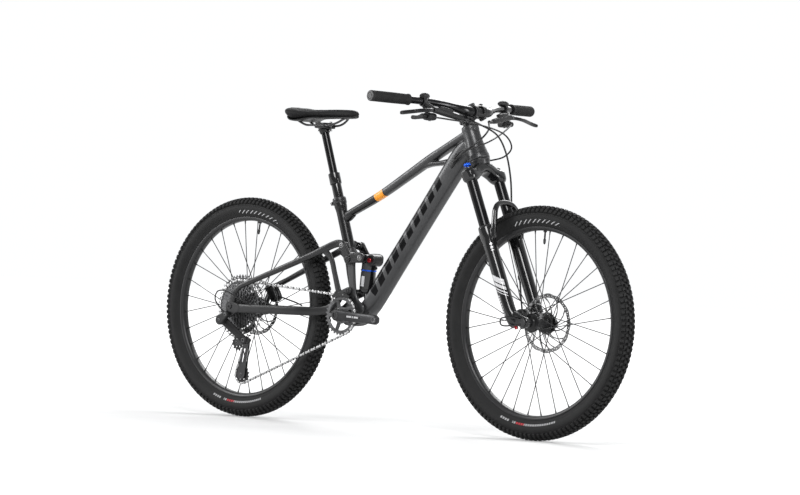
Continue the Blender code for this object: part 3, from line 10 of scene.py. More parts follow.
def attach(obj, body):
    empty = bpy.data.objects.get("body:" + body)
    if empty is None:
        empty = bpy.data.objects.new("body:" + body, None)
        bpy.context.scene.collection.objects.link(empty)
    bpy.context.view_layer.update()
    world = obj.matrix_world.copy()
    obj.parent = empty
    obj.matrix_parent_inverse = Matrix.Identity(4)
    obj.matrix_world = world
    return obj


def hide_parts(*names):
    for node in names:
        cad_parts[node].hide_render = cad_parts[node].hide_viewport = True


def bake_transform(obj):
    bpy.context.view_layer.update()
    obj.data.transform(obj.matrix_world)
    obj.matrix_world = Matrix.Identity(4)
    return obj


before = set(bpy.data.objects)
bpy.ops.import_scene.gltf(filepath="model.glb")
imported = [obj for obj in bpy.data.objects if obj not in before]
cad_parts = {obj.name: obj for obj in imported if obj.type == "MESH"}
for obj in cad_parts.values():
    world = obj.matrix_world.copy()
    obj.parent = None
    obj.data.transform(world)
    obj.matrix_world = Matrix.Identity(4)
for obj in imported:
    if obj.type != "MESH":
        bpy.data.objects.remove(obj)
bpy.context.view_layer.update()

# ---------------------------------------------------------------- the bike's own dimensions, metres
WHEELBASE = 1.195
TYRE_RADIUS = 0.3515
HEAD_ANGLE = radians(66.5)
SEAT_ANGLE = radians(70.8)
LEG_SPACING = 0.065
CHAIN_PITCH = 0.0127
BB = (0.449, 0.3425)
REAR_AXLE = (0.0, TYRE_RADIUS)
FRONT_AXLE = (WHEELBASE, TYRE_RADIUS)
UPPER_PULLEY = (0.0, 0.236)
LOWER_PULLEY = (0.023, 0.136)
CAGE_PIVOT = (0.044, 0.246)
DERAILLEUR_KNUCKLE = (-0.03, 0.307)
HANGER = (-0.004, 0.325)
ROCKER_PIVOT = (0.4644, 0.5181)
ROCKER_REAR = (0.4358, 0.5601)
ROCKER_FRONT = (0.513, 0.523)
LINK_PIVOT = (0.4676, 0.4197)
LINK_REAR = (0.4317, 0.4051)
SHOCK_FOOT = (0.5005, 0.3585)
CHAINRING_Y = -0.052
COG_Y = -0.036
ROTOR_Y_FRONT = 0.04
ROTOR_Y_REAR = 0.048
CRANK_LENGTH = 0.165
CRANK_DROOP = radians(2.8)

UP = Vector((0, 0, 1))
LEFT = Vector((0, 1, 0))
FORWARD = Vector((1, 0, 0))
STEER_UP = Vector((-cos(HEAD_ANGLE), 0, sin(HEAD_ANGLE)))
STEER_FORWARD = Vector((sin(HEAD_ANGLE), 0, cos(HEAD_ANGLE)))
SEAT_UP = Vector((-cos(SEAT_ANGLE), 0, sin(SEAT_ANGLE)))
SEAT_FORWARD = Vector((sin(SEAT_ANGLE), 0, cos(SEAT_ANGLE)))


def side(place, y=0.0):
    """A point of the side view, measured from the rear axle along and from the ground up, at a y."""
    return Vector((place[0] - WHEELBASE / 2, y, place[1]))


CROWN = side(FRONT_AXLE) - STEER_FORWARD * 0.044 + STEER_UP * 0.535


def on_steerer(height, forward=0.0, y=0.0):
    return CROWN + STEER_UP * height + STEER_FORWARD * forward + LEFT * y


def on_seat_line(distance, forward=0.0, y=0.0):
    return side((0.4985, 0.3457)) + SEAT_UP * distance + SEAT_FORWARD * forward + LEFT * y


def polar(place, radius, angle):
    """A point of the side view at a distance and an angle from a place."""
    return place[0] + radius * cos(angle), place[1] + radius * sin(angle)


def pitch_radius(teeth):
    """A sprocket's radius at the chain's pins."""
    return CHAIN_PITCH / (2 * sin(pi / teeth))


# ---------------------------------------------------------------- camera
CAMERA_PLACE = (7.1285, -8.181, 0.489)
CAMERA_AZIMUTH = radians(40.92)
CAMERA_ELEVATION = radians(-0.38)
CAMERA_ROLL = radians(2.58)
SENSOR_MM = 36
LENS_MM = 157.68


def make_camera():
    azimuth, elevation, roll = CAMERA_AZIMUTH, CAMERA_ELEVATION, CAMERA_ROLL
    look = Vector((-sin(azimuth) * cos(elevation), cos(azimuth) * cos(elevation), -sin(elevation)))
    right = Vector((cos(azimuth), sin(azimuth), 0))
    up = right.cross(look)
    turned_right = right * cos(roll) + up * sin(roll)
    turned_up = up * cos(roll) - right * sin(roll)
    data = bpy.data.cameras.new("camera")
    data.sensor_width = SENSOR_MM
    data.lens = LENS_MM
    data.clip_end = 100
    camera = bpy.data.objects.new("camera", data)
    camera.matrix_world = (
        Matrix.Translation(CAMERA_PLACE)
        @ Matrix((turned_right, turned_up, -look)).transposed().to_4x4()
    )
    bpy.context.scene.collection.objects.link(camera)
    bpy.context.scene.camera = camera


make_camera()


# ---------------------------------------------------------------- finishes
class Nodes:
    """A material's node tree, with short calls for the nodes that the finishes use."""

    def __init__(self, name):
        self.material = bpy.data.materials.new(name)
        self.material.use_nodes = True
        self.tree = self.material.node_tree
        self.shader = self.tree.nodes["Principled BSDF"]
        place = self.tree.nodes.new("ShaderNodeTexCoord")
        self.place = place.outputs["Object"]

    def node(self, kind, **settings):
        made = self.tree.nodes.new(kind)
        for key, value in settings.items():
            setattr(made, key, value)
        return made

    def link(self, source, target):
        self.tree.links.new(source, target)

    def feed(self, target, value):
        if hasattr(value, "is_linked"):
            self.link(value, target)
        else:
            target.default_value = value

    def noise(self, scale, detail=3.0, roughness=0.55, vector=None):
        made = self.node("ShaderNodeTexNoise")
        made.inputs["Scale"].default_value = scale
        made.inputs["Detail"].default_value = detail
        made.inputs["Roughness"].default_value = roughness
        self.link(vector or self.place, made.inputs["Vector"])
        return made.outputs["Fac"]

    def cells(self, scale):
        made = self.node("ShaderNodeTexVoronoi", feature="F1")
        made.inputs["Scale"].default_value = scale
        self.link(self.place, made.inputs["Vector"])
        return made.outputs["Distance"]

    def stretched(self, scale):
        made = self.node("ShaderNodeMapping")
        made.inputs["Scale"].default_value = scale
        self.link(self.place, made.inputs["Vector"])
        return made.outputs["Vector"]

    def span(self, value, low, high, to_low, to_high):
        """The value carried from one range to another, and held at its ends."""
        made = self.node("ShaderNodeMapRange", clamp=True)
        self.feed(made.inputs["Value"], value)
        for key, number in (("From Min", low), ("From Max", high), ("To Min", to_low), ("To Max", to_high)):
            made.inputs[key].default_value = number
        return made.outputs["Result"]

    def math(self, operation, a, b=0.0):
        made = self.node("ShaderNodeMath", operation=operation)
        for socket, value in zip(made.inputs, (a, b)):
            self.feed(socket, value)
        return made.outputs[0]

    def near(self, value, middle, reach):
        """1 where the value is within reach of the middle."""
        return self.math("LESS_THAN", self.math("ABSOLUTE", self.math("SUBTRACT", value, middle)), reach)

    def both(self, *masks):
        """1 where every mask is 1."""
        out = masks[0]
        for mask in masks[1:]:
            out = self.math("MULTIPLY", out, mask)
        return out

    def along(self, direction, start):
        """Distance along a direction from a start point."""
        return self.math("SUBTRACT", self.dot(tuple(direction)), start.dot(direction))

    def mix(self, factor, a, b):
        made = self.node("ShaderNodeMix", data_type="RGBA")
        self.feed(made.inputs["Factor"], factor)
        for socket, value in ((made.inputs[6], a), (made.inputs[7], b)):
            self.feed(socket, (*value, 1) if isinstance(value, tuple) and len(value) == 3 else value)
        return made.outputs[2]

    def dot(self, direction):
        """Distance along a direction from the origin."""
        made = self.node("ShaderNodeVectorMath", operation="DOT_PRODUCT")
        self.link(self.place, made.inputs[0])
        made.inputs[1].default_value = direction
        return made.outputs["Value"]

    def radial(self, centre):
        """Distance from the wheel's axis, angle round it in the side view, and distance across."""
        shifted = self.node("ShaderNodeVectorMath", operation="SUBTRACT")
        self.link(self.place, shifted.inputs[0])
        shifted.inputs[1].default_value = centre
        parts = self.node("ShaderNodeSeparateXYZ")
        self.link(shifted.outputs[0], parts.inputs[0])
        x, z = parts.outputs["X"], parts.outputs["Z"]
        square = self.math("ADD", self.math("MULTIPLY", x, x), self.math("MULTIPLY", z, z))
        return self.math("SQRT", square), self.math("ARCTAN2", z, x), parts.outputs["Y"]

    def bump(self, height, strength, distance):
        made = self.node("ShaderNodeBump")
        made.inputs["Strength"].default_value = strength
        made.inputs["Distance"].default_value = distance
        self.link(height, made.inputs["Height"])
        self.link(made.outputs["Normal"], self.shader.inputs["Normal"])

    def edges(self, low=0.505, high=0.56):
        """1 on sharp outer edges, 0 elsewhere."""
        made = self.node("ShaderNodeNewGeometry")
        return self.span(made.outputs["Pointiness"], low, high, 0, 1)


def finish(
    name, dark, light, scale, rough, metallic=0.0, bump=0.0, grain=900, coat=0.0, wear=None, stretch=None,
    specular=0.5,
):
    """A finish with patches of two near colours, an uneven sheen, a fine grain, and worn edges if wanted."""
    n = Nodes(name)
    vector = n.stretched(stretch) if stretch else None
    patches = n.noise(scale, 4, 0.6, vector)
    colour = n.mix(n.span(patches, 0.35, 0.65, 0, 1), dark, light)
    if wear:
        colour = n.mix(n.math("MULTIPLY", n.edges(), 0.6), colour, wear)
    n.link(colour, n.shader.inputs["Base Color"])
    fine = n.noise(grain, 2, 0.5, vector)
    sheen = n.math("ADD", n.math("MULTIPLY", patches, 0.6), n.math("MULTIPLY", fine, 0.4))
    n.link(n.span(sheen, 0.3, 0.7, rough[0], rough[1]), n.shader.inputs["Roughness"])
    n.shader.inputs["Metallic"].default_value = metallic
    n.shader.inputs["Specular IOR Level"].default_value = specular
    if coat:
        n.shader.inputs["Coat Weight"].default_value = coat
        n.shader.inputs["Coat Roughness"].default_value = 0.06
    if bump:
        n.bump(fine, bump, 0.0004)
    return n


GRAPHITE = (0.036, 0.0365, 0.038)
GRAPHITE_LIGHT = (0.05, 0.0505, 0.052)
SOOT = (0.005, 0.005, 0.0054)
SOOT_LIGHT = (0.0085, 0.0085, 0.009)
ORANGE = (0.86, 0.3, 0.002)


def frame_paint():
    """Satin graphite, black behind the top tube's orange band, with a row of plain dark blocks."""
    n = finish("frame_paint", GRAPHITE, GRAPHITE_LIGHT, 9, (0.3, 0.42), 0.45, 0.05, 2500, coat=0.12)
    base = n.shader.inputs["Base Color"].links[0].from_socket
    z = n.dot((0, 0, 1))
    high = n.math("GREATER_THAN", z, 0.6)
    along = n.along(Vector((0.885, 0, 0.466)), side((0.549, 0.7206)))
    black = n.both(high, n.math("LESS_THAN", along, 0.0))
    band = n.both(high, n.near(along, 0, 0.0185))
    line = n.both(high, n.near(along, 0.02, 0.0016))
    low, top = side((0.548, 0.405)), side((0.83, 0.793))
    run = (top - low).normalized()
    across = Vector((-run.z, 0, run.x))
    u = n.along(run, low)
    v = n.along(across, low)
    reach = n.both(n.math("GREATER_THAN", u, 0.012), n.math("LESS_THAN", u, 0.452))
    strip = n.near(v, 0.0045, n.span(u, 0.0, 0.46, 0.0175, 0.0135))
    wave = n.math("FRACT", n.math("MULTIPLY", n.math("ADD", u, n.math("MULTIPLY", v, -0.45)), 22.0))
    block = n.near(wave, 0.5, 0.33)
    flank = n.math("GREATER_THAN", n.math("ABSOLUTE", n.dot((0, 1, 0))), 0.0195)
    blocks = n.both(reach, strip, block, flank, n.math("LESS_THAN", z, 0.8))
    painted = n.mix(blocks, base, (0.004, 0.004, 0.0044))
    painted = n.mix(black, painted, SOOT_LIGHT)
    painted = n.mix(line, painted, SOOT)
    painted = n.mix(band, painted, ORANGE)
    n.link(painted, n.shader.inputs["Base Color"])
    n.link(n.math("MAXIMUM", n.span(band, 0, 1, 0.45, 0.0), blocks), n.shader.inputs["Metallic"])
    return n.material


def tyre_rubber(name, centre, middle):
    """Matt rubber with fine moulded lines, slanted pale bars high on the sidewall and small ones low."""
    n = finish(
        name, (0.007, 0.007, 0.0072), (0.0125, 0.0125, 0.0128), 22, (0.58, 0.8), 0.0, 0.35, 700,
        specular=0.28,
    )
    base = n.shader.inputs["Base Color"].links[0].from_socket
    radius, angle, across = n.radial(tuple(centre))
    flank = n.math("GREATER_THAN", n.math("ABSOLUTE", across), 0.016)
    ring = n.near(radius, 0.3048, 0.0054)
    bar_reach = n.near(angle, middle, 0.29)
    slant = n.math("ADD", n.math("MULTIPLY", angle, 8.6), n.math("MULTIPLY", radius, 42))
    wave = n.math("FRACT", slant)
    solid = n.near(wave, 0.5, 0.3)
    hollow = n.math("GREATER_THAN", n.math("ABSOLUTE", n.math("SUBTRACT", wave, 0.5)), 0.17)
    upper = n.both(flank, ring, bar_reach, solid, hollow)
    low_ring = n.near(radius, 0.305, 0.003)
    low_angle = n.math("SUBTRACT", angle, -pi / 2)
    low_reach = n.both(
        n.near(low_angle, -0.02, 0.35),
        n.math("GREATER_THAN", n.math("ABSOLUTE", n.math("ADD", low_angle, 0.235)), 0.022),
    )
    low_wave = n.math("LESS_THAN", n.math("FRACT", n.math("MULTIPLY", angle, 34)), 0.68)
    lower = n.both(flank, low_ring, low_reach, low_wave)
    red = n.both(lower, n.near(low_angle, -0.12, 0.055))
    painted = n.mix(n.math("MULTIPLY", upper, 0.8), base, (0.5, 0.5, 0.51))
    painted = n.mix(n.math("MULTIPLY", lower, 0.75), painted, (0.45, 0.45, 0.46))
    painted = n.mix(red, painted, (0.42, 0.03, 0.04))
    n.link(painted, n.shader.inputs["Base Color"])
    ribs = n.math("SINE", n.math("MULTIPLY", radius, 2600))
    height = n.math("ADD", n.math("MULTIPLY", ribs, 0.25), n.noise(700, 3))
    n.bump(height, 0.35, 0.0004)
    return n.material


def fork_gloss():
    """Gloss black with a slanted pale block, two fine lines and small ticks on the legs' outer sides."""
    n = finish(
        "fork_gloss", (0.0045, 0.0045, 0.005), (0.007, 0.007, 0.0075), 12, (0.1, 0.17), 0.0, 0.02, 1500,
        coat=0.45, specular=0.35,
    )
    base = n.shader.inputs["Base Color"].links[0].from_socket
    s = n.along(STEER_UP, CROWN)
    t = n.along(STEER_FORWARD, CROWN)
    slanted = n.math("ADD", s, n.math("MULTIPLY", t, 0.9))
    outer = n.math("GREATER_THAN", n.math("ABSOLUTE", n.dot((0, 1, 0))), LEG_SPACING + 0.002)
    strip = n.near(t, 0.002, 0.0165)
    block = n.near(slanted, -0.387, 0.0175)
    dark = n.near(slanted, -0.391, 0.0022)
    line_one = n.near(slanted, -0.413, 0.0024)
    line_two = n.near(slanted, -0.422, 0.0014)
    marks = n.math("MAXIMUM", n.math("MAXIMUM", n.math("SUBTRACT", block, dark), line_one), line_two)
    rear = n.near(t, -0.009, 0.0036)
    tick_reach = n.near(s, -0.462, 0.033)
    ticks = n.both(rear, tick_reach, n.math("LESS_THAN", n.math("FRACT", n.math("MULTIPLY", s, 120)), 0.62))
    high_tick = n.near(s, -0.278, 0.014)
    high_part = n.both(
        high_tick, n.near(t, 0.014, 0.0032),
        n.math("LESS_THAN", n.math("FRACT", n.math("MULTIPLY", s, 95)), 0.6),
    )
    mask = n.both(outer, n.math("MAXIMUM", n.both(strip, marks), n.math("MAXIMUM", ticks, high_part)))
    n.link(n.mix(n.math("MULTIPLY", mask, 0.88), base, (0.62, 0.62, 0.63)), n.shader.inputs["Base Color"])
    return n.material


def saddle_skin():
    n = finish(
        "saddle_skin", (0.006, 0.006, 0.0064), (0.01, 0.01, 0.0105), 30, (0.5, 0.66), 0.0, specular=0.18,
    )
    n.bump(n.cells(1400), 0.35, 0.0005)
    return n.material


def grip_skin():
    n = finish(
        "grip_skin", (0.0095, 0.0095, 0.01), (0.016, 0.016, 0.0165), 40, (0.62, 0.8), 0.0, specular=0.22,
    )
    n.bump(n.noise(1300, 3), 0.3, 0.0004)
    return n.material


FRAME_PAINT = frame_paint()
YOKE_PAINT = finish(
    "yoke_paint", GRAPHITE, GRAPHITE_LIGHT, 9, (0.3, 0.42), 0.45, 0.05, 2500, coat=0.12,
).material
REAR_PAINT = finish(
    "rear_paint", (0.0115, 0.0115, 0.0122), (0.0165, 0.0165, 0.0175), 10, (0.3, 0.42), 0.3, 0.05, 2500,
    coat=0.12,
).material
SEAT_TUBE_PAINT = finish(
    "seat_tube_paint", SOOT, SOOT_LIGHT, 10, (0.28, 0.4), 0.5, 0.05, 2500, coat=0.15,
).material
ALLOY = finish(
    "black_alloy", (0.0085, 0.0085, 0.009), (0.014, 0.014, 0.0148), 25, (0.26, 0.4), 0.4, 0.06, 1800,
    wear=(0.05, 0.05, 0.052),
).material
BAR_ALLOY = finish(
    "bar_alloy", (0.009, 0.009, 0.0098), (0.014, 0.014, 0.015), 14, (0.12, 0.2), 0.5, 0.03, 1800,
).material
CRANK_ALLOY = finish(
    "crank_alloy", (0.018, 0.018, 0.0195), (0.028, 0.028, 0.03), 20, (0.3, 0.42), 0.5, 0.06, 1500,
    wear=(0.08, 0.08, 0.082),
).material
GLOSS = finish(
    "gloss_black", (0.0045, 0.0045, 0.005), (0.007, 0.007, 0.0075), 12, (0.09, 0.16), 0.0, 0.02, 1500,
    coat=0.45, specular=0.35,
).material
STANCHION = finish(
    "stanchion_coat", (0.005, 0.005, 0.0056), (0.0085, 0.0085, 0.009), 18, (0.07, 0.12), 0.3, 0.0, 1500,
    specular=0.3,
).material
FORK = fork_gloss()
STEEL = finish(
    "brushed_steel", (0.36, 0.36, 0.37), (0.5, 0.5, 0.51), 40, (0.22, 0.36), 1.0, 0.08, 2200,
    stretch=(1, 1, 6),
).material
BOLT_STEEL = finish(
    "bolt_steel", (0.1, 0.1, 0.102), (0.17, 0.17, 0.172), 60, (0.25, 0.38), 1.0, 0.05, 1800,
    wear=(0.3, 0.3, 0.3),
).material
ROTOR_STEEL = finish(
    "rotor_steel", (0.15, 0.15, 0.152), (0.26, 0.26, 0.262), 40, (0.25, 0.38), 1.0, 0.05, 2200,
    wear=(0.4, 0.4, 0.4),
).material
SPOKE = finish(
    "spoke_black", (0.01, 0.01, 0.0105), (0.018, 0.018, 0.0185), 30, (0.35, 0.5), 0.2, 0.0, 900,
).material
DARK_STEEL = finish(
    "dark_steel", (0.016, 0.016, 0.017), (0.04, 0.04, 0.041), 75, (0.28, 0.42), 0.85, 0.08, 1400,
    wear=(0.2, 0.2, 0.205),
).material
CHAIN_STEEL = finish(
    "chain_steel", (0.15, 0.15, 0.155), (0.32, 0.32, 0.325), 160, (0.22, 0.38), 1.0, 0.05, 1500,
    wear=(0.6, 0.6, 0.6),
).material
CHAIN_DARK = finish(
    "chain_dark", (0.015, 0.015, 0.016), (0.045, 0.045, 0.046), 190, (0.28, 0.42), 0.9, 0.05, 1500,
    wear=(0.15, 0.15, 0.15),
).material
PLASTIC = finish(
    "black_plastic", (0.006, 0.006, 0.0064), (0.01, 0.01, 0.0105), 35, (0.4, 0.58), 0.0, 0.25, 1500,
    specular=0.35,
).material
SADDLE_SKIN = saddle_skin()
GRIP_SKIN = grip_skin()
HOSE = finish(
    "hose_sheath", (0.0065, 0.0065, 0.007), (0.011, 0.011, 0.0115), 50, (0.32, 0.44), 0.0, 0.05, 1500,
    specular=0.4,
).material
BLUE = finish(
    "blue_anodised", (0.008, 0.06, 0.4), (0.015, 0.1, 0.58), 60, (0.18, 0.3), 0.8, 0.04, 1800,
).material
RED = finish(
    "red_anodised", (0.26, 0.012, 0.018), (0.38, 0.022, 0.028), 60, (0.22, 0.34), 0.6, 0.04, 1800,
).material
PALE_MARK = finish(
    "pale_mark", (0.38, 0.38, 0.39), (0.46, 0.46, 0.47), 60, (0.4, 0.5), 0.0, 0.05, 1500,
).material
RIM = finish(
    "rim_black", (0.0075, 0.0075, 0.008), (0.012, 0.012, 0.0126), 20, (0.32, 0.44), 0.2, 0.05, 1800,
    wear=(0.03, 0.03, 0.032),
).material
END_PLUG = finish(
    "grip_end", (0.024, 0.024, 0.025), (0.045, 0.045, 0.046), 60, (0.4, 0.55), 0.0, 0.1, 1500,
).material


def piece(name, mesh, material, body, angle=35, nodes=()):
    """A finished piece, its edges over the angle left sharp; with a node's name, it replaces that node."""
    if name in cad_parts:
        nodes = [name]
        name = "fine_" + name
    if isinstance(mesh, bmesh.types.BMesh):
        bm, mesh = mesh, bpy.data.meshes.new(name)
        bmesh.ops.recalc_face_normals(bm, faces=bm.faces)
        bm.to_mesh(mesh)
        bm.free()
    mesh.materials.clear()
    mesh.materials.append(material)
    for polygon in mesh.polygons:
        polygon.use_smooth = True
    mesh.set_sharp_from_angle(angle=radians(angle))
    obj = bpy.data.objects.new(name, mesh)
    bpy.context.scene.collection.objects.link(obj)
    if body:
        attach(obj, body)
    if nodes:
        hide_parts(*nodes)
    return obj


def axes_along(direction):
    """Two unit vectors square to the direction."""
    z = Vector(direction).normalized()
    x = UP if abs(z.z) < 0.7 else LEFT
    x = (x - z * x.dot(z)).normalized()
    return x, z.cross(x), z


def lathe(profile, centre, axis, steps=48, into=None):
    """Turns a profile of (radius, height) round an axis: a closed ring, unless it starts on the axis."""
    bm = bmesh.new() if into is None else into
    x, y, z = axes_along(axis)
    rings = []
    for radius, height in profile:
        base = Vector(centre) + z * height
        if radius < 1e-6:
            rings.append([bm.verts.new(base)])
            continue
        rings.append([
            bm.verts.new(base + (x * cos(tau * k / steps) + y * sin(tau * k / steps)) * radius)
            for k in range(steps)
        ])
    pairs = list(zip(rings, rings[1:]))
    if profile[0][0] > 0:
        pairs.append((rings[-1], rings[0]))
    for a, b in pairs:
        for k in range(steps):
            n = (k + 1) % steps
            if len(a) == 1 and len(b) == 1:
                continue
            if len(a) == 1:
                bm.faces.new((a[0], b[n], b[k]))
            elif len(b) == 1:
                bm.faces.new((a[k], a[n], b[0]))
            else:
                bm.faces.new((a[k], a[n], b[n], b[k]))
    return bm


def eased(radius, low, high, edge):
    """A round bar's profile, its ends chamfered by edge."""
    return [
        (0, high), (radius - edge, high), (radius, high - edge), (radius, low + edge), (radius - edge, low),
        (0, low),
    ]


def bar(start, end, radius, steps=24, edge=0.0004, into=None):
    """A round bar with chamfered ends."""
    start, end = Vector(start), Vector(end)
    profile = eased(radius, 0, (end - start).length, edge)
    return lathe(profile, start, end - start, steps, into=into)


def smooth(points, step):
    """Points every step or so along a smooth curve through the given ones, which may carry extra numbers."""
    size = len(points[0])
    rows = [tuple(p) for p in points]
    rows = [
        tuple(2 * a - b for a, b in zip(rows[0], rows[1])), *rows,
        tuple(2 * a - b for a, b in zip(rows[-1], rows[-2])),
    ]
    out = []
    for a, b, c, d in zip(rows, rows[1:], rows[2:], rows[3:]):
        gap = sqrt(sum((c[i] - b[i]) ** 2 for i in range(3)))
        count = max(1, round(gap / step))
        for k in range(count):
            t = k / count
            out.append(tuple(
                b[i] + (c[i] - a[i]) * t / 2 + (2 * a[i] - 5 * b[i] + 4 * c[i] - d[i]) * t * t / 2
                + (3 * b[i] - a[i] - 3 * c[i] + d[i]) * t ** 3 / 2
                for i in range(size)
            ))
    out.append(rows[-2])
    return out


def skin(rings, into=None):
    """Joins rings of as many points each with faces, and caps the two ends."""
    bm = bmesh.new() if into is None else into
    made = [[bm.verts.new(p) for p in ring] for ring in rings]
    for a, b in zip(made, made[1:]):
        for k in range(len(a)):
            n = (k + 1) % len(a)
            bm.faces.new((a[k], a[n], b[n], b[k]))
    bm.faces.new(made[0][::-1])
    bm.faces.new(made[-1])
    return bm


def oval(half_width, half_height, power, count):
    out = []
    for k in range(count):
        c, s = cos(tau * k / count), sin(tau * k / count)
        scale = (abs(c) ** power + abs(s) ** power) ** (-1 / power)
        out.append((c * scale * half_width, s * scale * half_height))
    return out


def in_side(rows):
    """Loft stations in the bike's middle plane, from rows of (x, z, half width, half height)."""
    return [(side((x, z)), width, height) for x, z, width, height in rows]


def loft(stations, power=2.4, count=40, across=LEFT, step=0.012, into=None):
    """A smooth solid through oval stations (point, half width, half height)."""
    rows = smooth([(*Vector(p), w, h) for p, w, h in stations], step)
    points = [Vector(r[:3]) for r in rows]
    rings = []
    for i, row in enumerate(rows):
        along = (points[min(i + 1, len(points) - 1)] - points[max(i - 1, 0)]).normalized()
        width = (across - along * across.dot(along)).normalized()
        height = width.cross(along)
        rings.append([points[i] + width * a + height * b for a, b in oval(row[3], row[4], power, count)])
    return skin(rings, into)


def wire(points, radius, count=10, step=0.008, radii=None, into=None):
    """A round bar along a smooth curve through the points."""
    rows = smooth([(*Vector(p), radii[i] if radii else radius) for i, p in enumerate(points)], step)
    path = [Vector(r[:3]) for r in rows]
    x = None
    rings = []
    for i, point in enumerate(path):
        along = (path[min(i + 1, len(path) - 1)] - path[max(i - 1, 0)]).normalized()
        x = axes_along(along)[0] if x is None else (x - along * x.dot(along)).normalized()
        y = along.cross(x)
        rings.append([
            point + (x * cos(tau * k / count) + y * sin(tau * k / count)) * rows[i][3] for k in range(count)
        ])
    return skin(rings, into)


def flat(outlines, y_low, y_high, bevel=0.0003):
    """A flat piece across the bike, from outlines in the side view; an outline inside another is a hole."""
    curve = bpy.data.curves.new("flat", "CURVE")
    curve.dimensions = "2D"
    curve.fill_mode = "BOTH"
    curve.extrude = (y_high - y_low) / 2 - bevel
    curve.bevel_depth = bevel
    curve.bevel_resolution = 0
    curve.offset = -bevel
    for outline in outlines:
        spline = curve.splines.new("POLY")
        spline.points.add(len(outline) - 1)
        for point, (x, z) in zip(spline.points, outline):
            point.co = (x - WHEELBASE / 2, z, 0, 1)
        spline.use_cyclic_u = True
    holder = bpy.data.objects.new("flat", curve)
    bpy.context.scene.collection.objects.link(holder)
    mesh = bpy.data.meshes.new_from_object(holder.evaluated_get(bpy.context.evaluated_depsgraph_get()))
    bpy.data.objects.remove(holder)
    bpy.data.curves.remove(curve)
    mesh.transform(Matrix.Translation((0, (y_low + y_high) / 2, 0)) @ Matrix.Rotation(pi / 2, 4, "X"))
    bm = bmesh.new()
    bm.from_mesh(mesh)
    bmesh.ops.remove_doubles(bm, verts=bm.verts, dist=0.000005)
    bpy.data.meshes.remove(mesh)
    return bm


def circle(place, radius, count=24):
    """A circle's points in the side view."""
    angles = [tau * k / count for k in range(count)]
    return [polar(place, radius, a) for a in angles]


def hull_outline(circles, steps=48):
    """The outline round a set of circles (x, z, radius), as a tight belt would lie."""
    points = sorted(
        (x + r * cos(tau * i / steps), z + r * sin(tau * i / steps)) for x, z, r in circles
        for i in range(steps)
    )

    def half(ordered):
        chain = []
        for p in ordered:
            while len(chain) > 1:
                (ax, az), (bx, bz) = chain[-2], chain[-1]
                if (bx - ax) * (p[1] - az) - (bz - az) * (p[0] - ax) > 1e-9:
                    break
                chain.pop()
            chain.append(p)
        return chain[:-1]

    return half(points) + half(points[::-1])


def merged(*parts):
    """One bmesh that holds the others as they are."""
    out = bmesh.new()
    for part in parts:
        held = bpy.data.meshes.new("held")
        part.to_mesh(held)
        part.free()
        out.from_mesh(held)
        bpy.data.meshes.remove(held)
    return out


def cast(source, voxel, passes=6, keep=None):
    """The shape as a casting: its surfaces run into each other and its edges are rounded."""
    mesh = bpy.data.meshes.new("cast")
    bmesh.ops.remove_doubles(source, verts=source.verts, dist=0.000005)
    bmesh.ops.recalc_face_normals(source, faces=source.faces)
    source.to_mesh(mesh)
    source.free()
    obj = bpy.data.objects.new("cast", mesh)
    bpy.context.scene.collection.objects.link(obj)
    remesh = obj.modifiers.new("remesh", "REMESH")
    remesh.mode = "VOXEL"
    remesh.voxel_size = voxel
    remesh.adaptivity = 0.0
    even = obj.modifiers.new("even", "SMOOTH")
    even.factor = 0.6
    even.iterations = passes
    if keep:
        thin = obj.modifiers.new("thin", "DECIMATE")
        thin.ratio = keep
    result = bpy.data.meshes.new_from_object(obj.evaluated_get(bpy.context.evaluated_depsgraph_get()))
    bpy.data.objects.remove(obj)
    bpy.data.meshes.remove(mesh)
    bm = bmesh.new()
    bm.from_mesh(result)
    bpy.data.meshes.remove(result)
    return bm


def carved(source, *cutters):
    """The shape with the others cut out of it."""
    objects = []
    for bm in (source, *cutters):
        mesh = bpy.data.meshes.new("carved")
        bmesh.ops.recalc_face_normals(bm, faces=bm.faces)
        bm.to_mesh(mesh)
        bm.free()
        obj = bpy.data.objects.new("carved", mesh)
        bpy.context.scene.collection.objects.link(obj)
        objects.append(obj)
    for cutter in objects[1:]:
        taken = objects[0].modifiers.new("taken", "BOOLEAN")
        taken.operation = "DIFFERENCE"
        taken.solver = "EXACT"
        taken.object = cutter
    result = bpy.data.meshes.new_from_object(objects[0].evaluated_get(bpy.context.evaluated_depsgraph_get()))
    for obj in objects:
        mesh = obj.data
        bpy.data.objects.remove(obj)
        bpy.data.meshes.remove(mesh)
    bm = bmesh.new()
    bm.from_mesh(result)
    bpy.data.meshes.remove(result)
    return bm


def bolt(bm, centre, axis, radius, proud=0.002):
    """A button-headed bolt with a round socket sunk in its head."""
    profile = [
        (radius, 0), (radius, proud * 0.4), (radius * 0.86, proud * 0.85), (radius * 0.6, proud),
        (radius * 0.5, proud),
    ]
    lathe([(0, 0)] + profile + [(radius * 0.46, proud * 0.35), (0, proud * 0.35)], centre, axis, 24, into=bm)
    return bm


# ---------------------------------------------------------------- wheels
TYRE_MIDDLE = 0.318
CARCASS = 0.0268
CARCASS_HALF = 0.0275


def on_tyre(centre, around, across, lift):
    """A point on a tyre: around the wheel, across its section from the crown, and so far off the carcass."""
    r = TYRE_MIDDLE + (CARCASS + lift) * cos(across)
    y = (CARCASS_HALF + lift) * sin(across)
    return Vector((centre.x + r * cos(around), centre.y + y, centre.z + r * sin(around)))


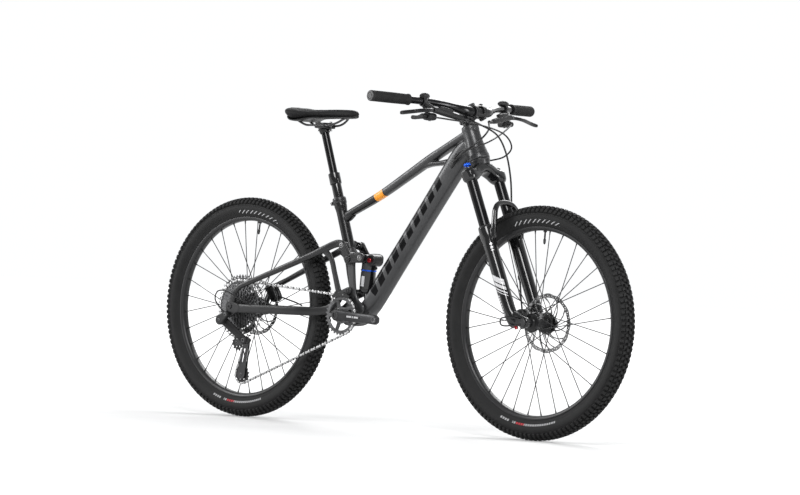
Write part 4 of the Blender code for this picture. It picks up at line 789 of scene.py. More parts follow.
def add_knob(bm, centre, around, across, length, width, height, lean=0.0):
    """A moulded block on the tread: its foot in the carcass and its top a little smaller."""
    corners = []
    for lift, size in ((-0.0012, 1.12), (height * 0.82, 0.98), (height, 0.84)):
        for u, v in ((-1, -1), (1, -1), (1, 1), (-1, 1)):
            a = around + (u * length / 2 + v * lean) * size / TYRE_RADIUS
            b = across + v * width / 2 * size / CARCASS
            corners.append(bm.verts.new(on_tyre(centre, a, b, lift)))
    for ring in (0, 4):
        for k in range(4):
            n = (k + 1) % 4
            bm.faces.new((corners[ring + k], corners[ring + n], corners[ring + 4 + n], corners[ring + 4 + k]))
    bm.faces.new(corners[8:12])
    bm.faces.new(corners[3::-1])


def make_tyre(name, place, body, middle):
    centre = side(place)
    bm = bmesh.new()
    profile = []
    for k in range(41):
        across = radians(-128 + 256 * k / 40)
        r = TYRE_MIDDLE + CARCASS * cos(across)
        y = CARCASS_HALF * sin(across)
        profile.append((r, y))
    profile = [(0.289, -0.0138), (0.2925, -0.016), *profile[1:-1], (0.2925, 0.016), (0.289, 0.0138)]
    inner = [(TYRE_MIDDLE + 0.0245 * cos(radians(a)), 0.025 * sin(radians(a))) for a in range(125, -126, -25)]
    lathe(profile + [(0.2895, 0.0118), *inner, (0.2895, -0.0118)], centre, LEFT, 180, into=bm)
    for rib in (0.2965, 0.3003, 0.324, 0.3288):
        for hand in (-1, 1):
            half = CARCASS_HALF * sqrt(max(0.0, 1 - ((rib - TYRE_MIDDLE) / CARCASS) ** 2))
            y = hand * (half + 0.0002)
            ring = [(rib + 0.0006, y), (rib, y + hand * 0.0005), (rib - 0.0006, y)]
            lathe(ring if hand > 0 else ring[::-1], centre, LEFT, 180, into=bm)
    pitches = 126
    for k in range(pitches):
        a = tau * (k + 0.5) / pitches
        half = 0.5 * tau / pitches
        for hand in (-1, 1):
            shift = 0.25 * tau / pitches * hand
            add_knob(bm, centre, a + shift, hand * 0.2, 0.0098, 0.008, 0.0068, hand * 0.001)
            add_knob(bm, centre, a + shift + half, hand * 0.56, 0.0096, 0.0074, 0.0066, hand * -0.0012)
            add_knob(
                bm, centre, a + shift + half, hand * 0.93, 0.0102, 0.0108 if k % 2 else 0.0088, 0.0068, 0.0,
            )
    material = tyre_rubber(name, centre, middle)
    piece(name, bm, material, body, 40)


def make_rim(name, place, body):
    centre = side(place)
    profile = [
        (0.2893, 0.0118), (0.2893, 0.0148), (0.2886, 0.0156), (0.2868, 0.0158), (0.2835, 0.0152),
        (0.279, 0.012), (0.277, 0.0085), (0.2764, 0.004), (0.2763, 0.0), (0.2764, -0.004), (0.277, -0.0085),
        (0.279, -0.012), (0.2835, -0.0152), (0.2868, -0.0158), (0.2886, -0.0156), (0.2893, -0.0148),
        (0.2893, -0.0118), (0.285, -0.0112), (0.2845, 0.0), (0.285, 0.0112),
    ]
    bm = lathe(profile, centre, LEFT, 180)
    piece(name, bm, RIM, body, 40)


def make_spokes(name, place, body, flanges):
    centre = side(place)
    bm, bm_nipples = bmesh.new(), bmesh.new()
    count = 32
    for i in range(count):
        flange_y, flange_radius = flanges[i % 2]
        hand = 1 if (i // 2) % 2 else -1
        rim_angle = tau * (i + 0.5) / count
        hub_angle = rim_angle + hand * radians(62)
        outside = 0.0022 * hand
        foot = centre + Vector((
            flange_radius * cos(hub_angle), flange_y + outside, flange_radius * sin(hub_angle),
        ))
        tip = centre + Vector((0.277 * cos(rim_angle), flange_y * 0.05, 0.277 * sin(rim_angle)))
        along = (tip - foot).normalized()
        head = foot - LEFT * (outside * 2.1)
        bar(foot, tip - along * 0.009, 0.00135, 8, 0.0001, into=bm)
        bar(head, foot + LEFT * (0.0004 * hand), 0.00115, 8, 0.0001, into=bm)
        bar(head, head - LEFT * (0.0012 * hand), 0.0019, 8, 0.0003, into=bm)
        profile = [
            (0, 0.013), (0.0024, 0.013), (0.0024, 0.008), (0.0019, 0.006), (0.0017, 0.001), (0.0013, 0),
            (0, 0),
        ]
        lathe(profile, tip - along * 0.0125, along, 10, into=bm_nipples)
    piece(name, bm, SPOKE, body, 40)
    piece(name + "_nipples", bm_nipples, ALLOY, body, 40)


def make_valve(name, place, body, angle):
    out = Vector((cos(angle), 0, sin(angle)))
    foot = side(place) + out * 0.2775
    bm = lathe(
        [
            (0, 0.042), (0.0014, 0.0418), (0.0036, 0.0385), (0.0042, 0.03), (0.0042, 0.0265),
            (0.0028, 0.0255), (0.0027, 0.006), (0.0052, 0.0055), (0.0056, 0.0035), (0.0052, 0.0012),
            (0.0034, 0.0), (0, 0.0),
        ],
        foot, -out, 20,
    )
    piece(name, bm, ALLOY, body)


def rounded_profile(profile, amount=0.0006):
    """The closed profile with its corners cut."""
    out = []
    for before, here, after in zip([profile[-1], *profile], profile, [*profile[1:], profile[0]]):
        here_v = Vector(here)
        for other in (before, after):
            leg = Vector(other) - here_v
            out.append(tuple(here_v + leg.normalized() * min(amount, leg.length * 0.4)))
    return out


def make_hub(name, place, body, profile):
    bm = lathe(rounded_profile(profile), side(place), LEFT, 64)
    piece(name, bm, ALLOY, body, 30)


def make_rotor(name, place, y, body):
    """Wavy disc with holes in its band, swept arms, and the bolts that hold it to the hub."""
    waves = 12
    edge = []
    for k in range(216):
        angle = tau * k / 216
        radius = 0.0888 + 0.0012 * cos(angle * waves)
        edge.append(polar(place, radius, angle))
    outlines = [edge]
    arms = 11
    share = tau / arms
    for k in range(arms):
        base = tau * k / arms
        window = []
        for r, low, high in (
            (0.0772, 0.045, 0.045), (0.064, 0.03, 0.035), (0.05, 0.045, 0.045), (0.04, 0.07, 0.07),
            (0.0345, 0.1, 0.1),
        ):
            lean = 0.62 * (0.0772 - r) / 0.043
            window.append((r, base + low - lean, base + share - high - lean))
        outer = [(window[0][0], window[0][1] + (window[0][2] - window[0][1]) * t / 4) for t in range(5)]
        down_side = [(r, high) for r, _, high in window[1:]]
        up_side = [(r, low) for r, low, _ in window[:0:-1]]
        outlines.append([polar(place, r, a) for r, a in outer + down_side + up_side])
    for k in range(33):
        base = tau * k / 33
        for r, a, hole in ((0.0803, 0.0, 0.0015), (0.0838, 0.07, 0.0017)):
            angle = base + a
            outlines.append(circle(polar(place, r, angle), hole, 10))
    outlines.append(circle(place, 0.0206, 48))
    disc = flat(outlines, y - 0.0009, y + 0.0009, 0.0002)
    piece(name, disc, ROTOR_STEEL, body, 30)
    bolts = bmesh.new()
    for k in range(6):
        angle = tau * (k + 0.25) / 6
        centre = side(polar(place, 0.0252, angle), y + 0.0009)
        bolt(bolts, centre, LEFT, 0.0036, 0.0022)
    piece(name + "_bolts", bolts, DARK_STEEL, body, 30)


def make_wheels():
    make_tyre("front_tyre", FRONT_AXLE, "front_wheel", radians(91))
    make_tyre("rear_tyre", REAR_AXLE, "rear_wheel", radians(80))
    make_rim("front_rim", FRONT_AXLE, "front_wheel")
    make_rim("rear_rim", REAR_AXLE, "rear_wheel")
    make_spokes("front_spokes", FRONT_AXLE, "front_wheel", ((-0.0335, 0.0262), (0.0275, 0.0262)))
    make_spokes("rear_spokes", REAR_AXLE, "rear_wheel", ((-0.0195, 0.0262), (0.0375, 0.0262)))
    make_valve("front_valve", FRONT_AXLE, "front_wheel", radians(88))
    make_valve("rear_valve", REAR_AXLE, "rear_wheel", radians(82))
    make_hub("front_hub", FRONT_AXLE, "front_wheel", [
        (0.011, 0.0547), (0.011, 0.044), (0.02, 0.043), (0.02, 0.03), (0.029, 0.0292), (0.029, 0.0258),
        (0.019, 0.0235), (0.0165, 0.015), (0.0155, 0.0), (0.0165, -0.018), (0.019, -0.0315),
        (0.029, -0.0318), (0.029, -0.0352), (0.015, -0.037), (0.011, -0.042), (0.011, -0.0547),
        (0.008, -0.0547), (0.008, 0.0547),
    ])
    make_hub("rear_hub", REAR_AXLE, "rear_wheel", [
        (0.012, 0.0737), (0.012, 0.056), (0.02, 0.054), (0.02, 0.04), (0.029, 0.0392), (0.029, 0.0358),
        (0.019, 0.0335), (0.0172, 0.02), (0.0172, 0.005), (0.022, -0.015), (0.029, -0.0178),
        (0.029, -0.0212), (0.022, -0.023), (0.022, -0.0265), (0.0068, -0.0265), (0.0068, 0.0737),
    ])
    make_rotor("front_rotor", FRONT_AXLE, ROTOR_Y_FRONT, "front_wheel")
    make_rotor("rear_rotor", REAR_AXLE, ROTOR_Y_REAR, "rear_wheel")


# ---------------------------------------------------------------- drivetrain
def gear(place, teeth, tall=0.003, start=0.0, root_drop=0.0036):
    """A sprocket's outline: rounded seats for the chain's rollers between pointed teeth."""
    radius = pitch_radius(teeth)
    half = [(0.0, -root_drop), (0.22, root_drop * -0.62), (0.36, tall * 0.25), (0.44, tall * 0.92)]
    tooth = [*half, (0.5, tall), *((1 - part, lift) for part, lift in half[:0:-1])]
    out = []
    for k in range(teeth):
        for part, lift in tooth:
            r = radius + lift
            angle = start + tau * (k + part) / teeth
            out.append(polar(place, r, angle))
    return out


def windows(place, count, r_in, r_out, share, lean=0.0):
    """Rounded openings in a ring of a disc, between count arms."""
    out = []
    for k in range(count):
        base = tau * k / count
        half = pi / count * share
        ring = []
        for j in range(9):
            ring.append((r_out, base - half + 2 * half * j / 8))
        narrow = half * (1 - (1 - share) * 1.4)
        for j in range(7):
            ring.append((r_in, base + lean + narrow - 2 * narrow * j / 6))
        out.append([polar(place, r, a) for r, a in ring])
    return out


COGS = [
    (50, -0.0307), (42, -0.036), (36, -0.0402), (32, -0.0437), (28, -0.047), (24, -0.0503), (21, -0.0535),
    (18, -0.0566), (16, -0.0596), (14, -0.0625), (12, -0.0653), (10, -0.068),
]


def make_cassette():
    parts = []
    for teeth, y in COGS:
        holes = [circle(REAR_AXLE, 0.012, 32)]
        radius = pitch_radius(teeth)
        if teeth == 50:
            for k in range(40):
                angle = tau * (k + 0.3) / 40
                holes.append(circle(polar(REAR_AXLE, 0.0952, angle), 0.0028, 10))
        if teeth >= 24:
            holes += windows(REAR_AXLE, 6, max(0.022, radius - 0.03), radius - 0.0115, 0.72)
        parts.append(flat(
            [gear(REAR_AXLE, teeth, start=0.05 * teeth), *holes], y - 0.00095, y + 0.00095, 0.0003,
        ))
    for (teeth, y), (_, next_y) in zip(COGS, COGS[1:]):
        radius = min(pitch_radius(teeth) - 0.02, 0.0235)
        radius = max(radius, 0.0145)
        parts.append(lathe(
            [(radius, next_y), (radius, y), (0.012, y), (0.012, next_y)], side(REAR_AXLE), LEFT, 40,
        ))
    lock = [
        (0.016, -0.069), (0.015, -0.0702), (0.0122, -0.0702), (0.011, -0.069), (0.011, -0.0675),
        (0.016, -0.0675),
    ]
    parts.append(lathe(lock[::-1], side(REAR_AXLE), LEFT, 48))
    end = [(0.01, -0.0737), (0.01, -0.069), (0.0068, -0.069), (0.0068, -0.0737)]
    parts.append(lathe(end[::-1], side(REAR_AXLE), LEFT, 40))
    piece("cassette", merged(*parts), DARK_STEEL, "cassette", 30)


def make_cranks():
    along = Vector((cos(CRANK_DROOP), 0, -sin(CRANK_DROOP)))
    for name, y_sign in (("crank_right", -1), ("crank_left", 1)):
        reach = along * (CRANK_LENGTH * -y_sign)
        start = side(BB, y_sign * 0.0725)
        end = side(BB, y_sign * 0.0785) + reach
        stations = [
            (start - reach * 0.1, 0.005, 0.0105), (start - reach * 0.06, 0.0074, 0.0158),
            (start, 0.0085, 0.018), (start + reach * 0.2, 0.008, 0.0165),
            (start + reach * 0.55, 0.007, 0.0148), (end - reach * 0.06, 0.0066, 0.015),
            (end + reach * 0.04, 0.0062, 0.0146), (end + reach * 0.09, 0.0048, 0.009),
        ]
        arm = loft(stations, 3.4, 48, step=0.006)
        eye = lathe(
            [
                (0.0118, 0.0068), (0.0122, 0.0062), (0.0122, -0.0062), (0.0118, -0.0068), (0, -0.0068),
                (0, 0.0068),
            ],
            end, LEFT, 40,
        )
        hole = bar(end - LEFT * 0.03, end + LEFT * 0.03, 0.0073, 40)
        body = carved(cast(merged(arm, eye), 0.0009, 5), hole)
        piece(name, body, CRANK_ALLOY, "crank", 60)
        hole = lathe(
            [(0.0072, 0.0088), (0.0088, 0.0088), (0.0092, 0.0084), (0.0092, -0.007), (0.0072, -0.007)], end,
            LEFT * y_sign, 40,
        )
        piece(name + "_pedal_bush", hole, DARK_STEEL, "crank", 30)
        cap = lathe(
            [
                (0, 0.0), (0.0136, 0.0), (0.0136, 0.0088), (0.0128, 0.01), (0.008, 0.0102),
                (0.0074, 0.0082), (0.0, 0.0082),
            ],
            start, LEFT * y_sign, 48,
        )
        piece(name + "_cap", cap, ALLOY, "crank", 30)
        marks = bmesh.new()
        for low, high in ((0.3, 0.42), (0.44, 0.47), (0.49, 0.6)):
            a, b = start.lerp(end, low), start.lerp(end, high)
            loft(
                [
                    (a + LEFT * y_sign * 0.0072, 0.0006, 0.0028),
                    (a.lerp(b, 0.5) + LEFT * y_sign * 0.007, 0.0006, 0.0028),
                    (b + LEFT * y_sign * 0.0068, 0.0006, 0.0028),
                ],
                5, 24, step=0.01, into=marks,
            )
        piece(name + "_marks", marks, PALE_MARK, "crank", 30)
    boss = lathe([(0.012, -0.056), (0.012, -0.07), (0.0185, -0.07), (0.0195, -0.056)], side(BB), LEFT, 48)
    washer = lathe(
        [(0.0205, 0.039), (0.0215, 0.042), (0.018, 0.047), (0.0175, 0.069), (0.012, 0.069), (0.012, 0.039)],
        side(BB), LEFT, 48,
    )
    cup = lathe(
        [(0.012, -0.0495), (0.0185, -0.0495), (0.0205, -0.04), (0.0205, -0.037), (0.012, -0.037)], side(BB),
        LEFT, 48,
    )
    spindle = bar(side(BB, -0.07), side(BB, 0.072), 0.012, 40)
    piece("crank_spindle", merged(boss, washer, cup, spindle), ALLOY, "crank", 30)


def make_chainring():
    y = CHAINRING_Y
    outer = gear(BB, 30, 0.0033)
    holes = windows(BB, 5, 0.0265, 0.0475, 0.8, 0.05)
    ring = flat([outer, *holes, circle(BB, 0.0126, 40)], y - 0.0019, y + 0.0019, 0.0005)
    piece("chainring", ring, DARK_STEEL, "crank", 30)
    bolts = bmesh.new()
    for k in range(5):
        angle = tau * (k + 0.5) / 5
        centre = side(polar(BB, 0.02, angle), y - 0.0019)
        bolt(bolts, centre, -LEFT, 0.003, 0.0016)
    piece("chainring_bolts", bolts, BOLT_STEEL, "crank", 30)


def chain_path(step=0.0012):
    """Points round the chain's run: chainring, sprocket and the two pulleys."""
    wheels = [
        (BB, pitch_radius(30), 1, CHAINRING_Y), (REAR_AXLE, pitch_radius(42), 1, COG_Y),
        (UPPER_PULLEY, pitch_radius(12), -1, COG_Y), (LOWER_PULLEY, pitch_radius(14), 1, COG_Y),
    ]
    tangents = []
    for (a, ra, sa, _), (b, rb, sb, _) in zip(wheels, wheels[1:] + wheels[:1]):
        gap = Vector((b[0] - a[0], b[1] - a[1]))
        lean = (sa * ra - sb * rb) / gap.length
        direction = gap.normalized()
        sideways = Vector((direction.y, -direction.x))
        unit = sideways * sqrt(1 - lean * lean) + direction * lean
        tangents.append(((sa * ra) * unit, (sb * rb) * unit))
    points = []
    for i, (centre, radius, turn, y) in enumerate(wheels):
        arrive, leave = tangents[i - 1][1], tangents[i][0]
        start, end = atan2(arrive.y, arrive.x), atan2(leave.y, leave.x)
        sweep = (end - start) % tau if turn > 0 else -((start - end) % tau)
        count = max(2, round(abs(sweep) * radius / step))
        for k in range(count + 1):
            angle = start + sweep * k / count
            points.append(side(polar(centre, radius, angle), y))
        nxt = wheels[(i + 1) % 4]
        last = side((nxt[0][0] + tangents[i][1].x, nxt[0][1] + tangents[i][1].y), nxt[3])
        first = points[-1]
        runs = max(1, round((last - first).length / step))
        points += [first.lerp(last, k / runs) for k in range(1, runs)]
    return points


def every(points, pitch):
    """Points a pitch apart along the closed path, the pitch stretched a little so that they close."""
    lengths = [0.0]
    for a, b in zip(points, points[1:] + points[:1]):
        lengths.append(lengths[-1] + (b - a).length)
    count = 2 * round(lengths[-1] / pitch / 2)
    out, i = [], 0
    for k in range(count):
        want = lengths[-1] * k / count
        while lengths[i + 1] < want:
            i += 1
        share = (want - lengths[i]) / (lengths[i + 1] - lengths[i])
        out.append(points[i].lerp(points[(i + 1) % len(points)], share))
    return out


def make_chain():
    """Roller chain: dark waisted inner links with rollers, and bright outer plates with pin heads."""
    pins = every(chain_path(), CHAIN_PITCH)
    inner, outer = bmesh.new(), bmesh.new()
    for k, (a, b) in enumerate(zip(pins, pins[1:] + pins[:1])):
        along = (b - a).normalized()
        across = (LEFT - along * LEFT.dot(along)).normalized()
        up = across.cross(along)
        bm, near, far = (inner, 0.00115, 0.002) if k % 2 else (outer, 0.0021, 0.003)
        outline = []
        length = (b - a).length
        for angle in range(100, 261, 32):
            outline.append((0.0042 * cos(radians(angle)), 0.0042 * sin(radians(angle))))
        outline.append((length / 2, -0.0024))
        for angle in range(-80, 81, 32):
            outline.append((length + 0.0042 * cos(radians(angle)), 0.0042 * sin(radians(angle))))
        outline.append((length / 2, 0.0024))
        for hand in (-1, 1):
            rows = []
            for y, inset in ((near, 1.0), (far - 0.0002, 1.0), (far, 0.93)):
                reach = [length / 2 + (u - length / 2) * inset for u, _ in outline]
                rows.append([
                    a + along * u + up * (v * inset) + across * (hand * y)
                    for u, (_, v) in zip(reach, outline)
                ])
            skin(rows, into=bm)
        lathe([(0, 0.002), (0.0038, 0.002), (0.0038, -0.002), (0, -0.002)], a, across, 12, into=inner)
        lathe(
            [
                (0, 0.0034), (0.0013, 0.0034), (0.0019, 0.0031), (0.0019, -0.0031), (0.0013, -0.0034),
                (0, -0.0034),
            ],
            a, across, 8, into=outer,
        )
    for name, bm, material in (("chain", outer, CHAIN_STEEL), ("chain_inner", inner, CHAIN_DARK)):
        links = piece(name, bm, material, None, 30)
        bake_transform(links)


def make_derailleur():
    """The fixed knuckle with its housing, then the arm, the cage and the two pulleys."""
    x, z = DERAILLEUR_KNUCKLE
    cx, cz = CAGE_PIVOT
    outline = hull_outline([(x, z, 0.016), (*HANGER, 0.0105)])
    body = flat([outline], -0.1005, -0.087, 0.002)
    stub = bar(side(HANGER, -0.099), side(HANGER, -0.0853), 0.0085, 32, 0.001)
    knuckle = cast(merged(body, stub), 0.0008, 6)
    piece("derailleur_body", knuckle, PLASTIC, "rear_triangle", 60)
    loop = [
        (-0.012, -0.0945, 0.33), (-0.03, -0.096, 0.345), (-0.052, -0.098, 0.372), (-0.04, -0.1, 0.398),
        (-0.004, -0.098, 0.4), (0.04, -0.093, 0.38), (0.085, -0.0865, 0.364),
    ]
    points = [side((px, pz), py) for px, py, pz in loop]
    piece("derailleur_housing", wire(points, 0.0023, 14, 0.004), HOSE, "rear_triangle", 60)
    ferrule = wire([points[0], points[0].lerp(points[1], 0.55)], 0.0034, 16, 0.004)
    piece("housing_ferrule", ferrule, ALLOY, "rear_triangle", 40)
    bolts = bmesh.new()
    bolt(bolts, side(HANGER, -0.099), -LEFT, 0.0062, 0.0022)
    bolt(bolts, side((x, z), -0.1003), -LEFT, 0.0046, 0.0018)
    piece("derailleur_bolts", bolts, DARK_STEEL, "rear_triangle", 30)

    upper_end = bar(side((x, z), -0.0844), side((x, z), -0.073), 0.013, 40, 0.002)
    lower_end = bar(side((cx, cz), -0.0625), side((cx, cz), -0.0485), 0.0128, 40, 0.002)
    link = loft(
        [
            (side((x, z), -0.0785), 0.0056, 0.0138),
            (side(((x + cx) / 2, (z + cz) / 2 - 0.001), -0.0672), 0.006, 0.013),
            (side((cx, cz), -0.056), 0.0054, 0.0126),
        ],
        3.4, 40, step=0.004,
    )
    outer = loft(
        [
            (side((x + 0.006, z - 0.01), -0.0815), 0.0016, 0.007),
            (side((cx - 0.01, cz + 0.006), -0.064), 0.0016, 0.007),
        ],
        5, 32, step=0.004,
    )
    piece(
        "derailleur_arm", cast(merged(upper_end, lower_end, link, outer), 0.0008, 6), PLASTIC,
        "derailleur_arm", 60,
    )
    bolts = bmesh.new()
    bolt(bolts, side((cx, cz), -0.0625), -LEFT, 0.007, 0.0018)
    bolt(bolts, side((x + 0.012, z - 0.016), -0.0812), -LEFT, 0.0028, 0.0016)
    piece("derailleur_arm_bolts", bolts, DARK_STEEL, "derailleur_arm", 30)

    ux, uz = UPPER_PULLEY
    lx, lz = LOWER_PULLEY
    parts = []
    for near, far, upper_r, lower_r in (
        (COG_Y - 0.0066, COG_Y - 0.0048, 0.011, 0.0155), (COG_Y + 0.0046, COG_Y + 0.0062, 0.0072, 0.014),
    ):
        wide = 0.0112 if near < COG_Y else 0.0062
        slot = hull_outline([
            (cx * 0.72 + lx * 0.28 - 0.003, cz * 0.72 + lz * 0.28, 0.004),
            (cx * 0.38 + lx * 0.62 - 0.001, cz * 0.38 + lz * 0.62, 0.0048),
        ])
        parts.append(flat(
            [hull_outline([(cx - 0.004, cz - 0.004, wide), (lx, lz, lower_r)]), slot], near, far, 0.0003,
        ))
        parts.append(flat([hull_outline([(cx, cz, wide * 0.95), (ux, uz, upper_r)])], near, far, 0.0003))
    parts.append(bar(side(UPPER_PULLEY, COG_Y - 0.006), side(UPPER_PULLEY, COG_Y + 0.006), 0.0031, 24))
    parts.append(bar(side(LOWER_PULLEY, COG_Y - 0.006), side(LOWER_PULLEY, COG_Y + 0.006), 0.0031, 24))
    parts.append(bar(side(CAGE_PIVOT, COG_Y - 0.006), side(CAGE_PIVOT, -0.048), 0.0095, 40))
    piece("derailleur_cage", merged(*parts), ALLOY, "derailleur_cage", 30)
    bolts = bmesh.new()
    for place in (UPPER_PULLEY, LOWER_PULLEY):
        bolt(bolts, side(place, COG_Y - 0.0066), -LEFT, 0.004, 0.0016)
        bolt(bolts, side(place, COG_Y + 0.0062), LEFT, 0.004, 0.0014)
    piece("cage_bolts", bolts, DARK_STEEL, "derailleur_cage", 30)
    for name, place, teeth in (("upper_pulley", UPPER_PULLEY, 12), ("lower_pulley", LOWER_PULLEY, 14)):
        radius = pitch_radius(teeth)
        holes = []
        for k in range(6):
            angle = tau * k / 6
            centre = polar(place, radius * 0.56, angle)
            holes.append(circle(centre, radius * 0.13, 12))
        wheel = flat(
            [gear(place, teeth, 0.0026), *holes, circle(place, 0.0034, 20)], COG_Y - 0.0017, COG_Y + 0.0017,
            0.0003,
        )
        piece(name, wheel, PLASTIC, name, 30)


# ---------------------------------------------------------------- front frame
def make_front_frame():
    """Head tube, down tube, top tube with its forked strut, and bottom bracket shell, run into each other."""
    head = lathe(
        [
            (0.0262, 0.121), (0.0268, 0.1195), (0.0268, 0.109), (0.0256, 0.102), (0.0262, 0.08),
            (0.029, 0.048), (0.032, 0.03), (0.0336, 0.024), (0.0338, 0.0105), (0.033, 0.0092),
            (0.024, 0.0092), (0.0205, 0.06), (0.019, 0.121),
        ],
        CROWN, STEER_UP, 96,
    )
    down = loft(in_side([
        (0.9, 0.88, 0.0215, 0.027), (0.87, 0.846, 0.025, 0.0335), (0.83, 0.793, 0.027, 0.0318),
        (0.74, 0.669, 0.0275, 0.03), (0.62, 0.504, 0.0275, 0.03), (0.548, 0.405, 0.0275, 0.031),
        (0.52, 0.371, 0.0275, 0.03), (0.49, 0.348, 0.027, 0.027), (0.456, 0.3405, 0.0262, 0.0215),
    ]), 3.2, 64, step=0.01)
    top = loft(in_side([
        (0.408, 0.653, 0.0124, 0.0108), (0.43, 0.664, 0.014, 0.0114), (0.545, 0.7195, 0.015, 0.0128),
        (0.65, 0.7795, 0.0165, 0.0138), (0.745, 0.835, 0.0195, 0.0145), (0.8, 0.865, 0.0212, 0.0128),
        (0.89, 0.913, 0.0222, 0.0128),
    ]), 2.8, 56, step=0.01)
    strut = loft(
        in_side([
            (0.696, 0.804, 0.013, 0.007), (0.745, 0.819, 0.0162, 0.008), (0.79, 0.824, 0.0172, 0.008),
            (0.83, 0.831, 0.0175, 0.009),
        ]),
        2.6, 48, step=0.008,
    )
    shell = lathe(
        [(0.025, 0.0365), (0.025, -0.0365), (0.0205, -0.0365), (0.0205, 0.0365)], side(BB), LEFT, 72,
    )
    opening = hull_outline([
        (0.5025, 0.3585, 0.0165), (0.5045, 0.391, 0.0262), (0.5185, 0.4, 0.0295), (0.5185, 0.47, 0.0365),
    ])
    room = flat([opening], -0.0245, 0.0245, 0.0001)
    head_bore = lathe(
        [(0, 0.17), (0.018, 0.17), (0.018, 0.1), (0.023, 0.012), (0.023, -0.03), (0, -0.03)], CROWN,
        STEER_UP, 64,
    )
    bore = bar(side(BB, -0.06), side(BB, 0.06), 0.0203, 64)
    seat_room = bar(on_seat_line(0.1), on_seat_line(0.6), 0.0172, 64)
    whole = carved(cast(merged(head, down, top, strut, shell), 0.0016, 2), room, head_bore, bore, seat_room)
    result = cast(whole, 0.0016, 8, keep=0.45)
    piece("front_frame", result, FRAME_PAINT, "frame", 60, nodes=["head_tube", "down_tube", "top_tube"])


def make_seat_tube():
    tube = lathe(
        [(0.0176, 0.36), (0.0176, 0.215), (0.02, 0.204), (0.016, 0.204), (0.0158, 0.36)], on_seat_line(0),
        SEAT_UP, 64,
    )
    flare = lathe(
        [
            (0.0196, 0.374), (0.02, 0.372), (0.02, 0.356), (0.0182, 0.346), (0.0178, 0.34), (0.016, 0.34),
            (0.016, 0.374),
        ],
        on_seat_line(0), SEAT_UP, 64,
    )
    gusset = loft(
        in_side([
            (0.402, 0.644, 0.01, 0.0115), (0.416, 0.649, 0.012, 0.0135), (0.434, 0.662, 0.0126, 0.0112),
        ]),
        2.6, 40, step=0.004,
    )
    bore = bar(on_seat_line(0.2), on_seat_line(0.38), 0.016, 64)
    piece(
        "seat_tube", carved(cast(merged(tube, flare, gusset), 0.0012, 4), bore), SEAT_TUBE_PAINT, "frame",
        60,
    )
    ring = lathe(
        [
            (0.021, 0.3835), (0.0216, 0.3825), (0.0216, 0.375), (0.0208, 0.3744), (0.0208, 0.3726),
            (0.0216, 0.372), (0.0216, 0.3665), (0.021, 0.3655), (0.0201, 0.3655), (0.0201, 0.3757),
            (0.0163, 0.3757), (0.0163, 0.3835),
        ],
        on_seat_line(0), SEAT_UP, 72,
    )
    ears = []
    for y_sign in (-1, 1):
        centre = on_seat_line(0.374, -0.025, y_sign * 0.005)
        ears.append(loft(
            [
                (centre - SEAT_FORWARD * 0.0062, 0.0034, 0.0058),
                (centre + SEAT_FORWARD * 0.0062, 0.0034, 0.0058),
            ],
            4, 32, step=0.004,
        ))
    piece("seat_clamp", merged(ring, *ears), ALLOY, "frame")
    bolts = bmesh.new()
    bar(on_seat_line(0.374, -0.0262, -0.0115), on_seat_line(0.374, -0.0262, 0.0115), 0.0026, 20, into=bolts)
    bolt(bolts, on_seat_line(0.374, -0.0262, -0.0086), -LEFT, 0.0042, 0.004)
    piece("seat_clamp_bolt", bolts, BOLT_STEEL, "frame", 30)


def strip_outline(stations, smooth_step=0.006):
    """The outline of a flat strip along smoothed stations (x, z, half width), with round ends."""
    rows = smooth([(x, 0.0, z, w) for x, z, w in stations], smooth_step)
    return outline_of([(x, z, w) for x, _, z, w in rows])


def outline_of(rows):
    left, right = [], []
    for i, (x, z, w) in enumerate(rows):
        before, after = rows[max(i - 1, 0)], rows[min(i + 1, len(rows) - 1)]
        along = Vector((after[0] - before[0], after[1] - before[1])).normalized()
        left.append((x - along.y * w, z + along.x * w))
        right.append((x + along.y * w, z - along.x * w))

    def cap(station, first):
        angle = atan2(first[1] - station[1], first[0] - station[0])
        turns = [angle - pi * k / 12 for k in range(1, 12)]
        return [polar(station, station[2], a) for a in turns]

    return left + cap(rows[-1], left[-1]) + right[::-1] + cap(rows[0], right[0])


